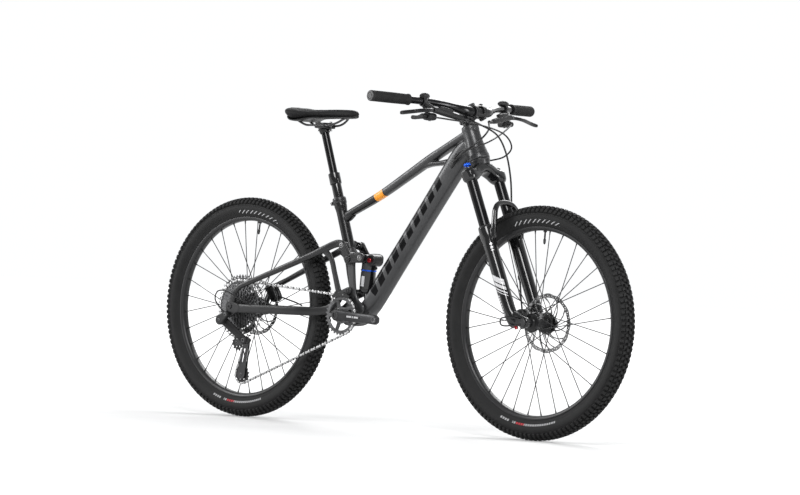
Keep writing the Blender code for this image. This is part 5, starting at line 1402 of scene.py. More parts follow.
def make_yoke():
    """Two cheeks from the shell past the rocker's pivot, the bar between them, and the pivots' caps."""
    end = (0.447, 0.527)
    stations = [
        (0.512, 0.366, 0.0165), (0.49, 0.384, 0.0155), (0.478, 0.415, 0.0145), (0.473, 0.455, 0.013),
        (0.468, 0.495, 0.014), (*ROCKER_PIVOT, 0.0155), (*end, 0.0118),
    ]
    outline = strip_outline(stations)
    parts = [flat([outline], -0.0383, -0.0282, 0.003), flat([outline], 0.0282, 0.0383, 0.003)]
    parts.append(bar(side(end, -0.0335), side(end, 0.0335), 0.0142, 48, 0.002))
    parts.append(loft(
        [(side(end), 0.017, 0.0142), (on_seat_line(0.212), 0.0185, 0.0185)], 2.2, 48, step=0.004,
    ))
    piece("shock_yoke", cast(merged(*parts), 0.0011, 6), YOKE_PAINT, "frame", 60)
    caps = bmesh.new()
    for y_sign in (-1, 1):
        lathe(
            [
                (0, 0.0537), (0.004, 0.0537), (0.0044, 0.0522), (0.0062, 0.0522), (0.0066, 0.0537),
                (0.0092, 0.0535), (0.0098, 0.0528), (0.0098, 0.0503), (0, 0.0503),
            ],
            side(ROCKER_PIVOT), LEFT * y_sign, 40, into=caps,
        )
    bar(side(ROCKER_PIVOT, -0.051), side(ROCKER_PIVOT, 0.051), 0.006, 32, into=caps)
    piece("rocker_axle", caps, ALLOY, "frame", 30)
    caps = bmesh.new()
    for y_sign in (-1, 1):
        for eye in (LINK_PIVOT, LINK_REAR):
            lathe(
                [
                    (0, 0.0478), (0.0036, 0.0478), (0.004, 0.0466), (0.006, 0.0466), (0.0064, 0.0478),
                    (0.008, 0.0474), (0.0086, 0.0462), (0, 0.0462),
                ],
                side(eye), LEFT * y_sign, 40, into=caps,
            )
    piece("lower_link_bolts", caps, ALLOY, "lower_link", 30)


def make_frame_fittings():
    """Cable boots, chain guide with its mount, and the guard under the bottom bracket."""
    turn = Vector((0.865 - 0.846, 0, 0.846 - 0.818)).normalized()
    for label, y_sign, place in (("right", -1, (0.862, 0.83)), ("left", 1, (0.864, 0.8235))):
        centre = side(place, y_sign * 0.0262)
        boot = loft([
            (centre - turn * 0.026, 0.0012, 0.003), (centre - turn * 0.02, 0.0034, 0.0062),
            (centre, 0.0048, 0.0076), (centre + turn * 0.012 + LEFT * y_sign * 0.002, 0.0058, 0.0078),
            (centre + turn * 0.02 + LEFT * y_sign * 0.005, 0.0052, 0.0066),
            (centre + turn * 0.024 + LEFT * y_sign * 0.007, 0.0038, 0.0046),
        ], 2.4, 40, step=0.003)
        piece(f"cable_boot_{label}", boot, PLASTIC, "frame", 50)
    guard = loft(in_side([
        (0.555, 0.383, 0.02, 0.0026), (0.529, 0.347, 0.0245, 0.0034), (0.5, 0.3235, 0.025, 0.0036),
        (0.47, 0.3135, 0.0235, 0.0036), (0.44, 0.315, 0.02, 0.003), (0.428, 0.319, 0.016, 0.002),
    ]), 4, 40, step=0.006)
    piece("bottom_guard", guard, PLASTIC, "frame", 50)
    radius = pitch_radius(30)
    arc = []
    for k in range(13):
        angle = radians(58 + 64 * k / 12)
        arc.append((side(polar(BB, radius + 0.0075, angle), CHAINRING_Y), 0.0062, 0.0024))
    top = loft(arc, 4, 28, step=0.004)
    plates = []
    for y in (CHAINRING_Y - 0.0062, CHAINRING_Y + 0.0062):
        outline = []
        for k in range(13):
            angle = radians(58 + 64 * k / 12)
            outline.append(polar(BB, radius + 0.0098, angle))
        for k in range(13):
            angle = radians(122 - 64 * k / 12)
            inset = radius - 0.0005 - 0.003 * sin(pi * k / 12)
            outline.append(polar(BB, inset, angle))
        plates.append(flat([outline], y - 0.0009, y + 0.0009, 0.0003))
    stem = flat(
        [strip_outline([(0.488, 0.399, 0.0055), (0.481, 0.383, 0.006), (0.47, 0.368, 0.0065)])],
        CHAINRING_Y + 0.0058, CHAINRING_Y + 0.0085, 0.0004,
    )
    mount = loft(
        [
            (side((0.47, 0.368), CHAINRING_Y + 0.006), 0.006, 0.005),
            (side((0.47, 0.368), -0.0365), 0.006, 0.006),
        ],
        4, 28, across=FORWARD, step=0.004,
    )
    piece("chain_guide", merged(top, *plates, stem, mount), PLASTIC, "frame")
    bolts = bmesh.new()
    bolt(bolts, side((0.46, 0.4068), CHAINRING_Y - 0.0071), -LEFT, 0.0028, 0.0014)
    piece("chain_guide_bolt", bolts, BOLT_STEEL, "frame", 30)


# ---------------------------------------------------------------- rear triangle
def make_stays():
    for name, y_sign in (("stay_right", -1), ("stay_left", 1)):
        def at(place, y):
            return side(place, y_sign * y)

        chainstay = loft([
            (at((0.006, 0.3475), 0.0798), 0.0048, 0.015), (at((0.04, 0.347), 0.079), 0.0052, 0.014),
            (at((0.12, 0.3475), 0.073), 0.0068, 0.0136), (at((0.26, 0.3485), 0.057), 0.008, 0.0138),
            (at((0.33, 0.35), 0.044), 0.0062, 0.0138), (at((0.378, 0.358), 0.0365), 0.005, 0.0136),
            (at((0.408, 0.379), 0.0336), 0.005, 0.0135), (at((0.429, 0.402), 0.0333), 0.005, 0.0112),
        ], 3.0, 48, step=0.008)
        seatstay = loft([
            (at((0.0, 0.356), 0.08), 0.0048, 0.013), (at((0.012, 0.385), 0.08), 0.0048, 0.0104),
            (at((0.03, 0.412), 0.079), 0.0055, 0.0084), (at((0.075, 0.432), 0.074), 0.006, 0.0082),
            (at((0.18, 0.474), 0.06), 0.007, 0.0092), (at((0.29, 0.518), 0.048), 0.0075, 0.0102),
            (at((0.35, 0.543), 0.043), 0.007, 0.0112), (at((0.39, 0.561), 0.036), 0.0055, 0.012),
            (at((0.412, 0.566), 0.0335), 0.005, 0.012), (at((0.4325, 0.5612), 0.0333), 0.005, 0.0104),
        ], 2.8, 48, step=0.008)
        strut = loft([
            (at((0.35, 0.546), 0.042), 0.005, 0.0105), (at((0.383, 0.52), 0.0375), 0.0046, 0.0097),
            (at((0.4, 0.47), 0.0345), 0.0046, 0.0095), (at((0.417, 0.42), 0.0335), 0.0046, 0.0105),
            (at((0.4285, 0.406), 0.0334), 0.0046, 0.0105),
        ], 2.8, 40, step=0.008)
        hanger = [(*HANGER, 0.009)] if y_sign < 0 else []
        low, high = sorted((y_sign * 0.0745, y_sign * 0.0848))
        dropout = flat([hull_outline([(*REAR_AXLE, 0.019), (0.03, 0.348, 0.013)] + hanger)], low, high, 0.002)
        ends = [
            lathe(
                [
                    (0.0108, 0.038), (0.0124, 0.0372), (0.0124, 0.0288), (0.0108, 0.028), (0.0062, 0.028),
                    (0.0062, 0.038),
                ],
                side(place), LEFT * y_sign, 48,
            )
            for place in (ROCKER_REAR, LINK_REAR)
        ]
        parts = [chainstay, seatstay, strut, dropout, *ends]
        if y_sign > 0:
            parts.append(bar(side((0.402, 0.408), -0.028), side((0.402, 0.408), 0.0345), 0.0095, 40, 0.001))
        piece(name, cast(merged(*parts), 0.0011, 7), REAR_PAINT, "rear_triangle", 60)
    axle = lathe(
        [
            (0, 0.09), (0.004, 0.09), (0.0044, 0.0872), (0.0062, 0.0872), (0.0066, 0.09), (0.0094, 0.0898),
            (0.01, 0.089), (0.01, 0.0855), (0.006, 0.085), (0.006, -0.0845), (0.0088, -0.085),
            (0.0088, -0.0874), (0.005, -0.0876), (0.0046, -0.0862), (0, -0.0862),
        ],
        side(REAR_AXLE), LEFT, 48,
    )
    piece("rear_axle", axle, ALLOY, "rear_triangle", 30)


def make_links():
    parts = []
    for low, high in ((-0.0462, -0.0392), (0.0392, 0.0462)):
        parts.append(flat([hull_outline([(*LINK_PIVOT, 0.0112), (*LINK_REAR, 0.0112)])], low, high, 0.0012))
    for place in (LINK_PIVOT, LINK_REAR):
        parts.append(bar(side(place, -0.042), side(place, 0.042), 0.0058, 32))
    piece("lower_link", merged(*parts), ALLOY, "lower_link")

    parts = []
    rear = strip_outline([
        (*ROCKER_REAR, 0.0138),
        ((ROCKER_REAR[0] + ROCKER_PIVOT[0]) / 2, (ROCKER_REAR[1] + ROCKER_PIVOT[1]) / 2, 0.0142),
        (*ROCKER_PIVOT, 0.0172),
    ])
    front = strip_outline([
        (*ROCKER_PIVOT, 0.0172),
        ((ROCKER_FRONT[0] + ROCKER_PIVOT[0]) / 2, (ROCKER_FRONT[1] + ROCKER_PIVOT[1]) / 2 + 0.002, 0.0158),
        (*ROCKER_FRONT, 0.0152),
    ])
    for low, high in ((-0.05, -0.0394), (0.0394, 0.05)):
        parts.append(flat([rear], low, high, 0.0024))
        parts.append(flat([front], low, high, 0.0024))
    parts.append(bar(side(ROCKER_FRONT, -0.045), side(ROCKER_FRONT, 0.045), 0.005, 32))
    piece("rocker_link", cast(merged(*parts), 0.0009, 5), ALLOY, "rocker_link", 60)
    bolts = bmesh.new()
    for y_sign in (-1, 1):
        for place in (ROCKER_REAR, ROCKER_FRONT):
            lathe(
                [
                    (0, 0.0512), (0.0034, 0.0512), (0.0038, 0.05), (0.0056, 0.05), (0.006, 0.0512),
                    (0.008, 0.051), (0.0086, 0.05), (0, 0.0496),
                ],
                side(place), LEFT * y_sign, 36, into=bolts,
            )
        bar(side(ROCKER_REAR, y_sign * 0.0285), side(ROCKER_REAR, y_sign * 0.045), 0.0058, 32, into=bolts)
    piece("rocker_bolts", bolts, BOLT_STEEL, "rocker_link", 30)


def make_shock():
    head, foot = side(ROCKER_FRONT), side(SHOCK_FOOT)
    down = (foot - head).normalized()
    reach = (foot - head).length
    reservoir = head + Vector((0.02, 0, -0.006))
    can = lathe(
        [
            (0, -0.022), (0.0055, -0.023), (0.0055, -0.109), (0.006, -0.11), (0.02, -0.1098),
            (0.0225, -0.1075), (0.024, -0.104), (0.024, -0.0983), (0.0232, -0.0975), (0.0232, -0.0958),
            (0.024, -0.095), (0.024, -0.0435), (0.023, -0.043), (0.023, -0.0405), (0.0236, -0.04),
            (0.0236, -0.015), (0.0232, -0.0145), (0.0205, -0.012), (0.0152, -0.002), (0.012, 0.003),
            (0, 0.004),
        ],
        head, -down, 80,
    )
    piece("shock_can", can, GLOSS, "shock_can", 30)
    eye = cast(merged(
        bar(head - LEFT * 0.0265, head + LEFT * 0.0265, 0.0118, 48, 0.001),
        loft([(head + down * 0.018, 0.0135, 0.0135), (head, 0.015, 0.0118)], 3, 40, step=0.004),
        loft([(head, 0.016, 0.0125), (reservoir, 0.019, 0.016)], 3, 40, step=0.004),
        bar(reservoir - LEFT * 0.022, reservoir + LEFT * 0.022, 0.0188, 56, 0.002),
    ), 0.0009, 4)
    piece("shock_head", eye, ALLOY, "shock_can", 60)
    ring = lathe(
        [
            (0.0232, -0.0352), (0.0232, -0.04), (0.0243, -0.04), (0.0248, -0.0396), (0.0248, -0.0356),
            (0.0243, -0.0352),
        ],
        head, -down, 80,
    )
    piece("shock_blue_ring", ring, BLUE, "shock_can", 30)
    knob = lathe(
        [(0, 0.029), (0.006, 0.0288), (0.0072, 0.0276), (0.0072, 0.0236), (0.0062, 0.0222), (0, 0.0222)],
        reservoir, -LEFT, 36,
    )
    piece("shock_red_knob", knob, RED, "shock_can", 30)
    cap = lathe(
        [(0, 0.0262), (0.004, 0.026), (0.0052, 0.0248), (0.0052, 0.0222), (0, 0.0222)], reservoir, LEFT, 32,
    )
    piece("shock_blue_knob", cap, BLUE, "shock_can", 30)
    valve = lathe(
        [
            (0, 0.01), (0.0036, 0.0098), (0.0044, 0.009), (0.0044, 0.003), (0.0052, 0.0024),
            (0.0052, -0.002), (0, -0.002),
        ],
        head + down * 0.03 + FORWARD * 0.0222, FORWARD, 28,
    )
    piece("shock_valve_cap", valve, PLASTIC, "shock_can", 30)
    label = loft(
        [
            (head + down * 0.056 - LEFT * 0.0232, 0.0009, 0.006),
            (head + down * 0.088 - LEFT * 0.0232, 0.0009, 0.006),
        ],
        6, 24, step=0.006,
    )
    piece("shock_mark", label, PALE_MARK, "shock_can", 30)

    shaft = bar(foot, foot - down * (reach - 0.066), 0.005, 40)
    piece("shock_shaft", shaft, STEEL, "shock_shaft", 30)
    eye = cast(merged(
        bar(foot - LEFT * 0.0185, foot + LEFT * 0.0185, 0.0096, 48, 0.0008),
        loft([(foot, 0.011, 0.0092), (foot - down * 0.017, 0.0082, 0.0082)], 2.4, 40, step=0.004),
    ), 0.0008, 4)
    piece("shock_foot_eye", eye, ALLOY, "shock_shaft", 60)
    pin = bar(foot - LEFT * 0.0245, foot + LEFT * 0.0245, 0.0045, 32)
    lathe(
        [(0.0105, 0.0), (0.0105, -0.0035), (0.005, -0.0035), (0.005, 0.0)], foot - down * 0.0172, -down, 40,
        into=pin,
    )
    piece("shock_foot_bolt", pin, STEEL, "shock_shaft", 30)


# ---------------------------------------------------------------- seatpost and saddle
def make_seatpost():
    outer = lathe(
        [
            (0.015, 0.466), (0.0176, 0.4655), (0.0186, 0.464), (0.0186, 0.456), (0.018, 0.4555),
            (0.018, 0.4545), (0.0186, 0.454), (0.0186, 0.432), (0.0178, 0.4295), (0.0158, 0.428),
            (0.0156, 0.24), (0.013, 0.235), (0.013, 0.4655),
        ],
        on_seat_line(0), SEAT_UP, 72,
    )
    piece("dropper_outer", outer, GLOSS, "frame", 30)
    post = lathe(
        [(0, 0.618), (0.0118, 0.618), (0.0126, 0.617), (0.0126, 0.371), (0.012, 0.37), (0, 0.37)],
        on_seat_line(0), SEAT_UP, 72,
    )
    piece("dropper_post", post, STANCHION, "seatpost", 30)
    parts = [
        loft(
            [
                (on_seat_line(0.599), 0.014, 0.014), (on_seat_line(0.612), 0.0185, 0.0165),
                (side((0.299, 0.929)), 0.027, 0.0165),
            ],
            2.8, 48, step=0.003,
        ),
        loft(
            [(side((0.279, 0.93), 0), 0.0275, 0.004), (side((0.319, 0.93), 0), 0.0275, 0.004)], 5, 48,
            step=0.004,
        ),
    ]
    for y in (-0.022, 0.022):
        parts.append(loft(
            [(side((0.279, 0.9345), y), 0.0062, 0.005), (side((0.319, 0.9345), y), 0.0062, 0.005)], 3, 32,
            step=0.004,
        ))
    piece("saddle_clamp", cast(merged(*parts), 0.0009, 4), ALLOY, "seatpost", 60)
    top = loft(in_side([(0.282, 0.9412, 0.0275, 0.003), (0.316, 0.9412, 0.0275, 0.003)]), 5, 48, step=0.004)
    piece("saddle_clamp_top", top, ALLOY, "seatpost", 40)
    bolts = bmesh.new()
    for x in (0.2745, 0.3235):
        lathe(
            [
                (0, 0.948), (0.004, 0.9478), (0.0046, 0.9465), (0.0046, 0.9425), (0.0026, 0.942),
                (0.0026, 0.922), (0.005, 0.9216), (0.005, 0.918), (0, 0.9176),
            ],
            side((x, 0.0)), UP, 28, into=bolts,
        )
    piece("saddle_clamp_bolts", bolts, BOLT_STEEL, "seatpost", 30)
    half = [
        (0.1955, -0.03, 0.96), (0.208, -0.0275, 0.95), (0.236, -0.0222, 0.9372), (0.262, -0.022, 0.936),
        (0.298, -0.022, 0.936), (0.334, -0.022, 0.936), (0.362, -0.017, 0.943), (0.386, -0.01, 0.956),
        (0.393, 0.0, 0.959),
    ]
    points = [side((x, z), y) for x, y, z in half + [(x, -y, z) for x, y, z in half[-2::-1]]]
    piece("saddle_rails", wire(points, 0.0035, 20, 0.004), DARK_STEEL, "seatpost", 60)


SADDLE_LINE = [
    (0.172, 0.03, 0.9838, 0.977), (0.1745, 0.048, 0.9882, 0.969), (0.18, 0.062, 0.9905, 0.961),
    (0.193, 0.0688, 0.9905, 0.953), (0.21, 0.069, 0.989, 0.9505), (0.228, 0.0655, 0.9865, 0.952),
    (0.245, 0.058, 0.9845, 0.956), (0.265, 0.049, 0.9838, 0.9595), (0.29, 0.04, 0.984, 0.9605),
    (0.32, 0.031, 0.985, 0.9608), (0.355, 0.024, 0.9858, 0.961), (0.39, 0.0202, 0.9862, 0.9612),
    (0.413, 0.018, 0.985, 0.9615), (0.426, 0.015, 0.9825, 0.963), (0.433, 0.0105, 0.9795, 0.9655),
    (0.4358, 0.005, 0.9765, 0.969),
]


def make_saddle():
    """Padded cover, crowned across, dished along the middle, its sides pulled in under a shell's lip."""
    stations = [(x, max(w, 0.003), top, base) for x, w, top, base in smooth(SADDLE_LINE, 0.004)]
    count = 72
    flatness = 2.7
    rings = []
    for x, w, top, base in stations:
        ring = []
        middle = (top + base) / 2
        rear = min(1.0, max(0.0, (0.3 - x) / 0.12))
        for k in range(count):
            angle = tau * k / count
            c, s = cos(angle), sin(angle)
            scale = (abs(c) ** flatness + abs(s) ** flatness) ** (-1 / flatness)
            y, z = c * scale * w, s * scale
            if z > 0:
                u = y / w
                height = (top - middle) * z
                from_nose = min(1.0, max(0.0, (0.415 - x) / 0.05))
                from_tail = min(1.0, max(0.0, (x - 0.172) / 0.03))
                dish = 0.0032 * (1 - min(1.0, abs(u) * 2.2)) ** 1.4 * from_nose * from_tail
                wing = 0.003 * rear * abs(u) ** 2
                fall = 0.005 * abs(u) ** 3 * (1 - 0.5 * rear)
                height += -dish * (z > 0.6) + wing - fall
            else:
                height = (middle - base) * z
                y *= 1 - 0.14 * min(1.0, -z)
            ring.append(side((x, middle + height), y))
        rings.append(ring)
    bm = skin(rings)
    bmesh.ops.recalc_face_normals(bm, faces=bm.faces)
    mesh = bpy.data.meshes.new("saddle_form")
    bm.to_mesh(mesh)
    bm.free()
    obj = bpy.data.objects.new("saddle_form", mesh)
    bpy.context.scene.collection.objects.link(obj)
    solid = obj.modifiers.new("remesh", "REMESH")
    solid.mode = "VOXEL"
    solid.voxel_size = 0.003
    even = obj.modifiers.new("even", "SMOOTH")
    even.factor = 0.5
    even.iterations = 4
    formed = bpy.data.meshes.new_from_object(obj.evaluated_get(bpy.context.evaluated_depsgraph_get()))
    bpy.data.objects.remove(obj)
    formed = puffed(formed)
    mesh = divided(formed)
    saddle = piece("saddle", mesh, SADDLE_SKIN, "seatpost", 60)
    seams = bmesh.new()
    for hand in (-1, 1):
        points = []
        for x, y in [(x, hand * w * 0.56) for x, w, _, _ in stations[4:-3:2] if w > 0.012]:
            hit, place, normal, _ = saddle.ray_cast(side((x, 1.05), y), Vector((0, 0, -1)))
            if hit:
                points.append(place + normal * 0.0001)
        wire(points, 0.0007, 8, 0.004, into=seams)
    piece("saddle_seams", seams, GRIP_SKIN, "seatpost", 60)
    rings = []
    for x, w, _, base in stations[2:-2]:
        middle = base - 0.0008
        rings.append([side((x, middle + b), a) for a, b in oval(max(w * 0.8, 0.003), 0.003, 5, 40)])
    shell = skin(rings)
    piece("saddle_shell", shell, PLASTIC, "seatpost", 50)


def puffed(mesh):
    """A short cloth run with pressure inside, so that the cover swells and pulls in by 2 mm at most."""
    before = [v.co.copy() for v in mesh.vertices]
    obj = bpy.data.objects.new("cushion", mesh)
    bpy.context.scene.collection.objects.link(obj)
    fixed = obj.vertex_groups.new(name="held")
    fixed.add([v.index for v in mesh.vertices if v.normal.z < -0.45], 1.0, "REPLACE")
    cloth = obj.modifiers.new("cloth", "CLOTH")
    cloth.settings.use_pressure = True
    cloth.settings.uniform_pressure_force = 3.0
    cloth.settings.effector_weights.gravity = 0
    cloth.settings.vertex_group_mass = "held"
    cloth.settings.tension_stiffness = 25
    cloth.settings.compression_stiffness = 25
    cloth.settings.bending_stiffness = 2
    cloth.point_cache.frame_start, cloth.point_cache.frame_end = 1, 12
    scene = bpy.context.scene
    for number in range(1, 13):
        scene.frame_set(number)
    result = bpy.data.meshes.new_from_object(obj.evaluated_get(bpy.context.evaluated_depsgraph_get()))
    scene.frame_set(1)
    bpy.data.objects.remove(obj)
    for vertex, start in zip(result.vertices, before):
        move = vertex.co - start
        if move.length > 0.002:
            vertex.co = start + move.normalized() * 0.002
    return result


def divided(mesh):
    obj = bpy.data.objects.new("divided", mesh)
    bpy.context.scene.collection.objects.link(obj)
    finer = obj.modifiers.new("finer", "SUBSURF")
    finer.levels = finer.render_levels = 1
    result = bpy.data.meshes.new_from_object(obj.evaluated_get(bpy.context.evaluated_depsgraph_get()))
    bpy.data.objects.remove(obj)
    return result


# ---------------------------------------------------------------- fork
def make_fork():
    steerer = lathe(
        [(0, 0.17), (0.0143, 0.17), (0.0143, 0.06), (0.019, 0.01), (0.019, -0.015), (0, -0.015)], CROWN,
        STEER_UP, 56,
    )
    race = lathe(
        [
            (0.03, 0.0086), (0.0322, 0.008), (0.0328, 0.005), (0.03, 0.001), (0.0285, -0.01),
            (0.015, -0.01), (0.015, 0.0086),
        ],
        CROWN, STEER_UP, 72,
    )
    half = [
        (-0.088, -0.044, 0.011, 0.015), (-0.0835, -0.0435, 0.0185, 0.0195),
        (-0.074, -0.043, 0.0236, 0.0216), (-0.065, -0.043, 0.0245, 0.0222), (-0.054, -0.04, 0.0238, 0.021),
        (-0.04, -0.031, 0.0228, 0.019), (-0.02, -0.0195, 0.025, 0.0178),
    ]
    other_half = [(-y, *rest) for y, *rest in half[::-1]]
    rows = [*half, (0.0, -0.0165, 0.0262, 0.0168), *other_half]
    stations = [(on_steerer(drop, 0, y), deep, tall) for y, drop, deep, tall in rows]
    crown = cast(loft(stations, 2.9, 56, across=STEER_FORWARD, step=0.005), 0.0012, 5)
    piece("fork_crown", crown, FORK, "steering", 60, nodes=["fork_upper"])
    piece("fork_steerer", merged(steerer, race), ALLOY, "steering", 30)
    legs = bmesh.new()
    for y in (-LEG_SPACING, LEG_SPACING):
        lathe(
            [(0, -0.023), (0.0165, -0.023), (0.017, -0.0236), (0.017, -0.309), (0.016, -0.31), (0, -0.31)],
            CROWN + LEFT * y, STEER_UP, 72, into=legs,
        )
    piece("fork_stanchions", legs, STANCHION, "steering", 30)
    top = CROWN + LEFT * LEG_SPACING
    cap = lathe(
        [
            (0, -0.012), (0.006, -0.012), (0.0066, -0.0126), (0.0066, -0.016), (0.0142, -0.0162),
            (0.0152, -0.0176), (0.0152, -0.026), (0, -0.026),
        ],
        top, STEER_UP, 48,
    )
    piece("air_cap", cap, ALLOY, "steering", 30)
    collar = lathe(
        [(0.01, -0.0174), (0.014, -0.018), (0.015, -0.0195), (0.015, -0.026), (0.01, -0.026)],
        CROWN - LEFT * LEG_SPACING, STEER_UP, 48,
    )
    piece("damper_cap", collar, ALLOY, "steering", 30)

    seals, parts = bmesh.new(), []
    for y_sign in (-1, 1):
        y = y_sign * LEG_SPACING
        parts.append(loft([
            (on_steerer(-0.213, 0, y), 0.0222, 0.0222), (on_steerer(-0.22, 0, y), 0.0226, 0.0226),
            (on_steerer(-0.24, 0, y), 0.0224, 0.0224), (on_steerer(-0.262, 0, y), 0.021, 0.021),
            (on_steerer(-0.3, 0, y), 0.0205, 0.0205), (on_steerer(-0.4, 0, y), 0.0202, 0.0202),
            (on_steerer(-0.47, 0.0005, y), 0.0198, 0.02), (on_steerer(-0.5, 0.003, y), 0.0176, 0.02),
            (on_steerer(-0.518, 0.005, y), 0.0156, 0.0186), (on_steerer(-0.531, 0.008, y), 0.0118, 0.0145),
        ], 2.05, 64, step=0.007))
        low, high = sorted((y_sign * 0.056, y_sign * 0.0758))
        foot = on_steerer(-0.5, 0.006)
        place = (foot.x + WHEELBASE / 2, foot.z)
        parts.append(flat([hull_outline([(*FRONT_AXLE, 0.0172), (*place, 0.0172)])], low, high, 0.0035))
        lathe(
            [
                (0.0172, -0.2085), (0.019, -0.208), (0.0205, -0.209), (0.0214, -0.2105), (0.0218, -0.214),
                (0.0172, -0.214),
            ],
            CROWN + LEFT * y, STEER_UP, 72, into=seals,
        )
    arch_half = [
        (-0.25, 0.018, 0.065, 0.01, 0.0082), (-0.228, 0.0285, 0.064, 0.0092, 0.008),
        (-0.205, 0.036, 0.06, 0.0085, 0.0076), (-0.183, 0.041, 0.0545, 0.0083, 0.0074),
        (-0.168, 0.044, 0.048, 0.0082, 0.0073), (-0.1545, 0.0452, 0.035, 0.0082, 0.0074),
        (-0.149, 0.0456, 0.02, 0.0084, 0.0074), (-0.147, 0.0458, 0.0, 0.0086, 0.0072),
    ]
    arch_all = arch_half + [(h, f, -y, a, b) for h, f, y, a, b in arch_half[-2::-1]]
    parts.append(loft(
        [(on_steerer(h, f, y), a, b) for h, f, y, a, b in arch_all], 3.0, 48, across=STEER_FORWARD,
        step=0.005,
    ))
    mounts = loft(
        [
            (on_steerer(-0.464, -0.016, 0.06), 0.008, 0.007),
            (on_steerer(-0.464, -0.027, 0.054), 0.007, 0.006),
        ],
        3, 32, step=0.004,
    )
    parts.append(mounts)
    bores = [
        bar(on_steerer(-0.19, 0, y), on_steerer(-0.46, 0, y), 0.0176, 64)
        for y in (-LEG_SPACING, LEG_SPACING)
    ]
    axle_bore = bar(side(FRONT_AXLE, -0.1), side(FRONT_AXLE, 0.1), 0.0078, 40)
    result = carved(cast(merged(*parts), 0.0013, 6), *bores, axle_bore)
    piece("fork_lowers", result, FORK, "fork_lowers", 50)
    piece("fork_seals", seals, PLASTIC, "fork_lowers", 30)

    centre = on_steerer(-0.0174, 0, -LEG_SPACING)
    rings = []
    ribs = 24
    for r, h, rib in (
        (0.0056, 0.0, 0), (0.0056, 0.004, 0), (0.01, 0.0046, 0), (0.0106, 0.0056, 0.5),
        (0.0106, 0.0112, 0.5), (0.01, 0.013, 0.3), (0.0086, 0.014, 0), (0.005, 0.0143, 0),
        (0.0046, 0.0132, 0), (0.0008, 0.0132, 0),
    ):
        ring = []
        for k in range(ribs * 4):
            angle = tau * k / (ribs * 4)
            radius = r - 0.0009 * rib * (1 if k % 4 in (2, 3) else 0)
            ring.append(
                centre + STEER_UP * h + STEER_FORWARD * (radius * cos(angle)) + LEFT * (radius * sin(angle))
            )
        rings.append(ring)
    knob = skin(rings)
    piece("compression_knob", knob, BLUE, "compression_knob", 30)
    foot = on_steerer(-0.531, 0.008, -LEG_SPACING)
    rebound = lathe(
        [
            (0, 0.004), (0.0074, 0.004), (0.0074, -0.0026), (0.0054, -0.003), (0.0054, -0.0092),
            (0.0042, -0.0103), (0, -0.0105),
        ],
        foot, STEER_UP, 36,
    )
    piece("rebound_knob", rebound, RED, "fork_lowers", 30)
    nut = lathe(
        [(0, 0.004), (0.0062, 0.004), (0.0062, -0.0066), (0.0052, -0.008), (0, -0.008)],
        on_steerer(-0.531, 0.008, LEG_SPACING), STEER_UP, 36,
    )
    piece("leg_nut", nut, ALLOY, "fork_lowers", 30)

    axle = lathe(
        [
            (0, 0.078), (0.005, 0.078), (0.0054, 0.0768), (0.0072, 0.0768), (0.0076, 0.078),
            (0.0098, 0.0778), (0.0105, 0.077), (0.0105, 0.0762), (0.0075, 0.0758), (0.0075, -0.076),
            (0.0115, -0.0764), (0.012, -0.0772), (0.012, -0.0812), (0.0112, -0.082), (0, -0.082),
        ],
        side(FRONT_AXLE), LEFT, 56,
    )
    piece("front_axle", axle, ALLOY, "fork_lowers", 30)
    x, z = FRONT_AXLE
    lever = [side((x + dx, z + dz), y) for dx, dz, y in (
        (-0.003, 0.006, -0.081), (-0.014, 0.01, -0.085), (-0.032, 0.013, -0.0885), (-0.058, 0.013, -0.09),
        (-0.072, 0.009, -0.09), (-0.075, -0.001, -0.09), (-0.07, -0.01, -0.09), (-0.054, -0.012, -0.09),
        (-0.03, -0.01, -0.0885), (-0.013, -0.008, -0.085), (-0.003, -0.005, -0.081),
    )]
    piece("axle_lever", wire(lever, 0.0023, 16, 0.003), ALLOY, "fork_lowers", 60)


# ---------------------------------------------------------------- brakes
def make_caliper(name, centre, turn, body, hand):
    """Two-piece caliper over the disc's edge, its bridge on the hand's side, with its bolts."""
    parts = []
    up, out = turn @ UP, turn @ FORWARD
    for y_sign in (-1, 1):
        middle = centre + LEFT * y_sign * 0.01
        parts.append(loft([
            (middle - up * 0.03, 0.006, 0.0085), (middle - up * 0.024, 0.0075, 0.0125),
            (middle, 0.008, 0.016), (middle + up * 0.024, 0.0075, 0.0125),
            (middle + up * 0.03, 0.006, 0.0085),
        ], 3.2, 40, step=0.004))
    bridge = centre - out * (0.011 * hand)
    parts.append(loft(
        [(bridge - up * 0.027, 0.0165, 0.0055), (bridge + up * 0.027, 0.0165, 0.0055)], 4, 40, step=0.004,
    ))
    piece(name, cast(merged(*parts), 0.0009, 5), ALLOY, body, 60)
    bolts = bmesh.new()
    for h in (-0.0225, 0.0225):
        back = bridge + up * h - out * (0.005 * hand)
        bolt(bolts, back, -out * hand, 0.0042, 0.0036)
    for h in (-0.012, 0.012):
        bolt(bolts, centre + up * h + LEFT * 0.0178, LEFT, 0.0034, 0.0018)
    bar(centre + LEFT * 0.017, centre + LEFT * 0.0186, 0.009, 32, into=bolts)
    piece(name + "_bolts", bolts, BOLT_STEEL, body, 30)


def make_calipers():
    turn = Matrix.Rotation(HEAD_ANGLE - pi / 2, 3, "Y")
    centre = on_steerer(-0.49, -0.0375, ROTOR_Y_FRONT + 0.003)
    make_caliper("front_caliper", centre, turn, "fork_lowers", -1)
    turn = Matrix.Rotation(radians(-38), 3, "Y")
    centre = side((0.064, 0.402), ROTOR_Y_REAR + 0.003)
    make_caliper("rear_caliper", centre, turn, "rear_triangle", 1)
    route = [
        (0.074, 0.052, 0.396), (0.082, 0.055, 0.391), (0.105, 0.06, 0.384), (0.14, 0.069, 0.374),
        (0.172, 0.069, 0.3645),
    ]
    hose = wire([side((x, z), y) for x, y, z in route], 0.0025, 14, 0.004)
    piece("rear_caliper_hose", hose, HOSE, "rear_triangle", 60)


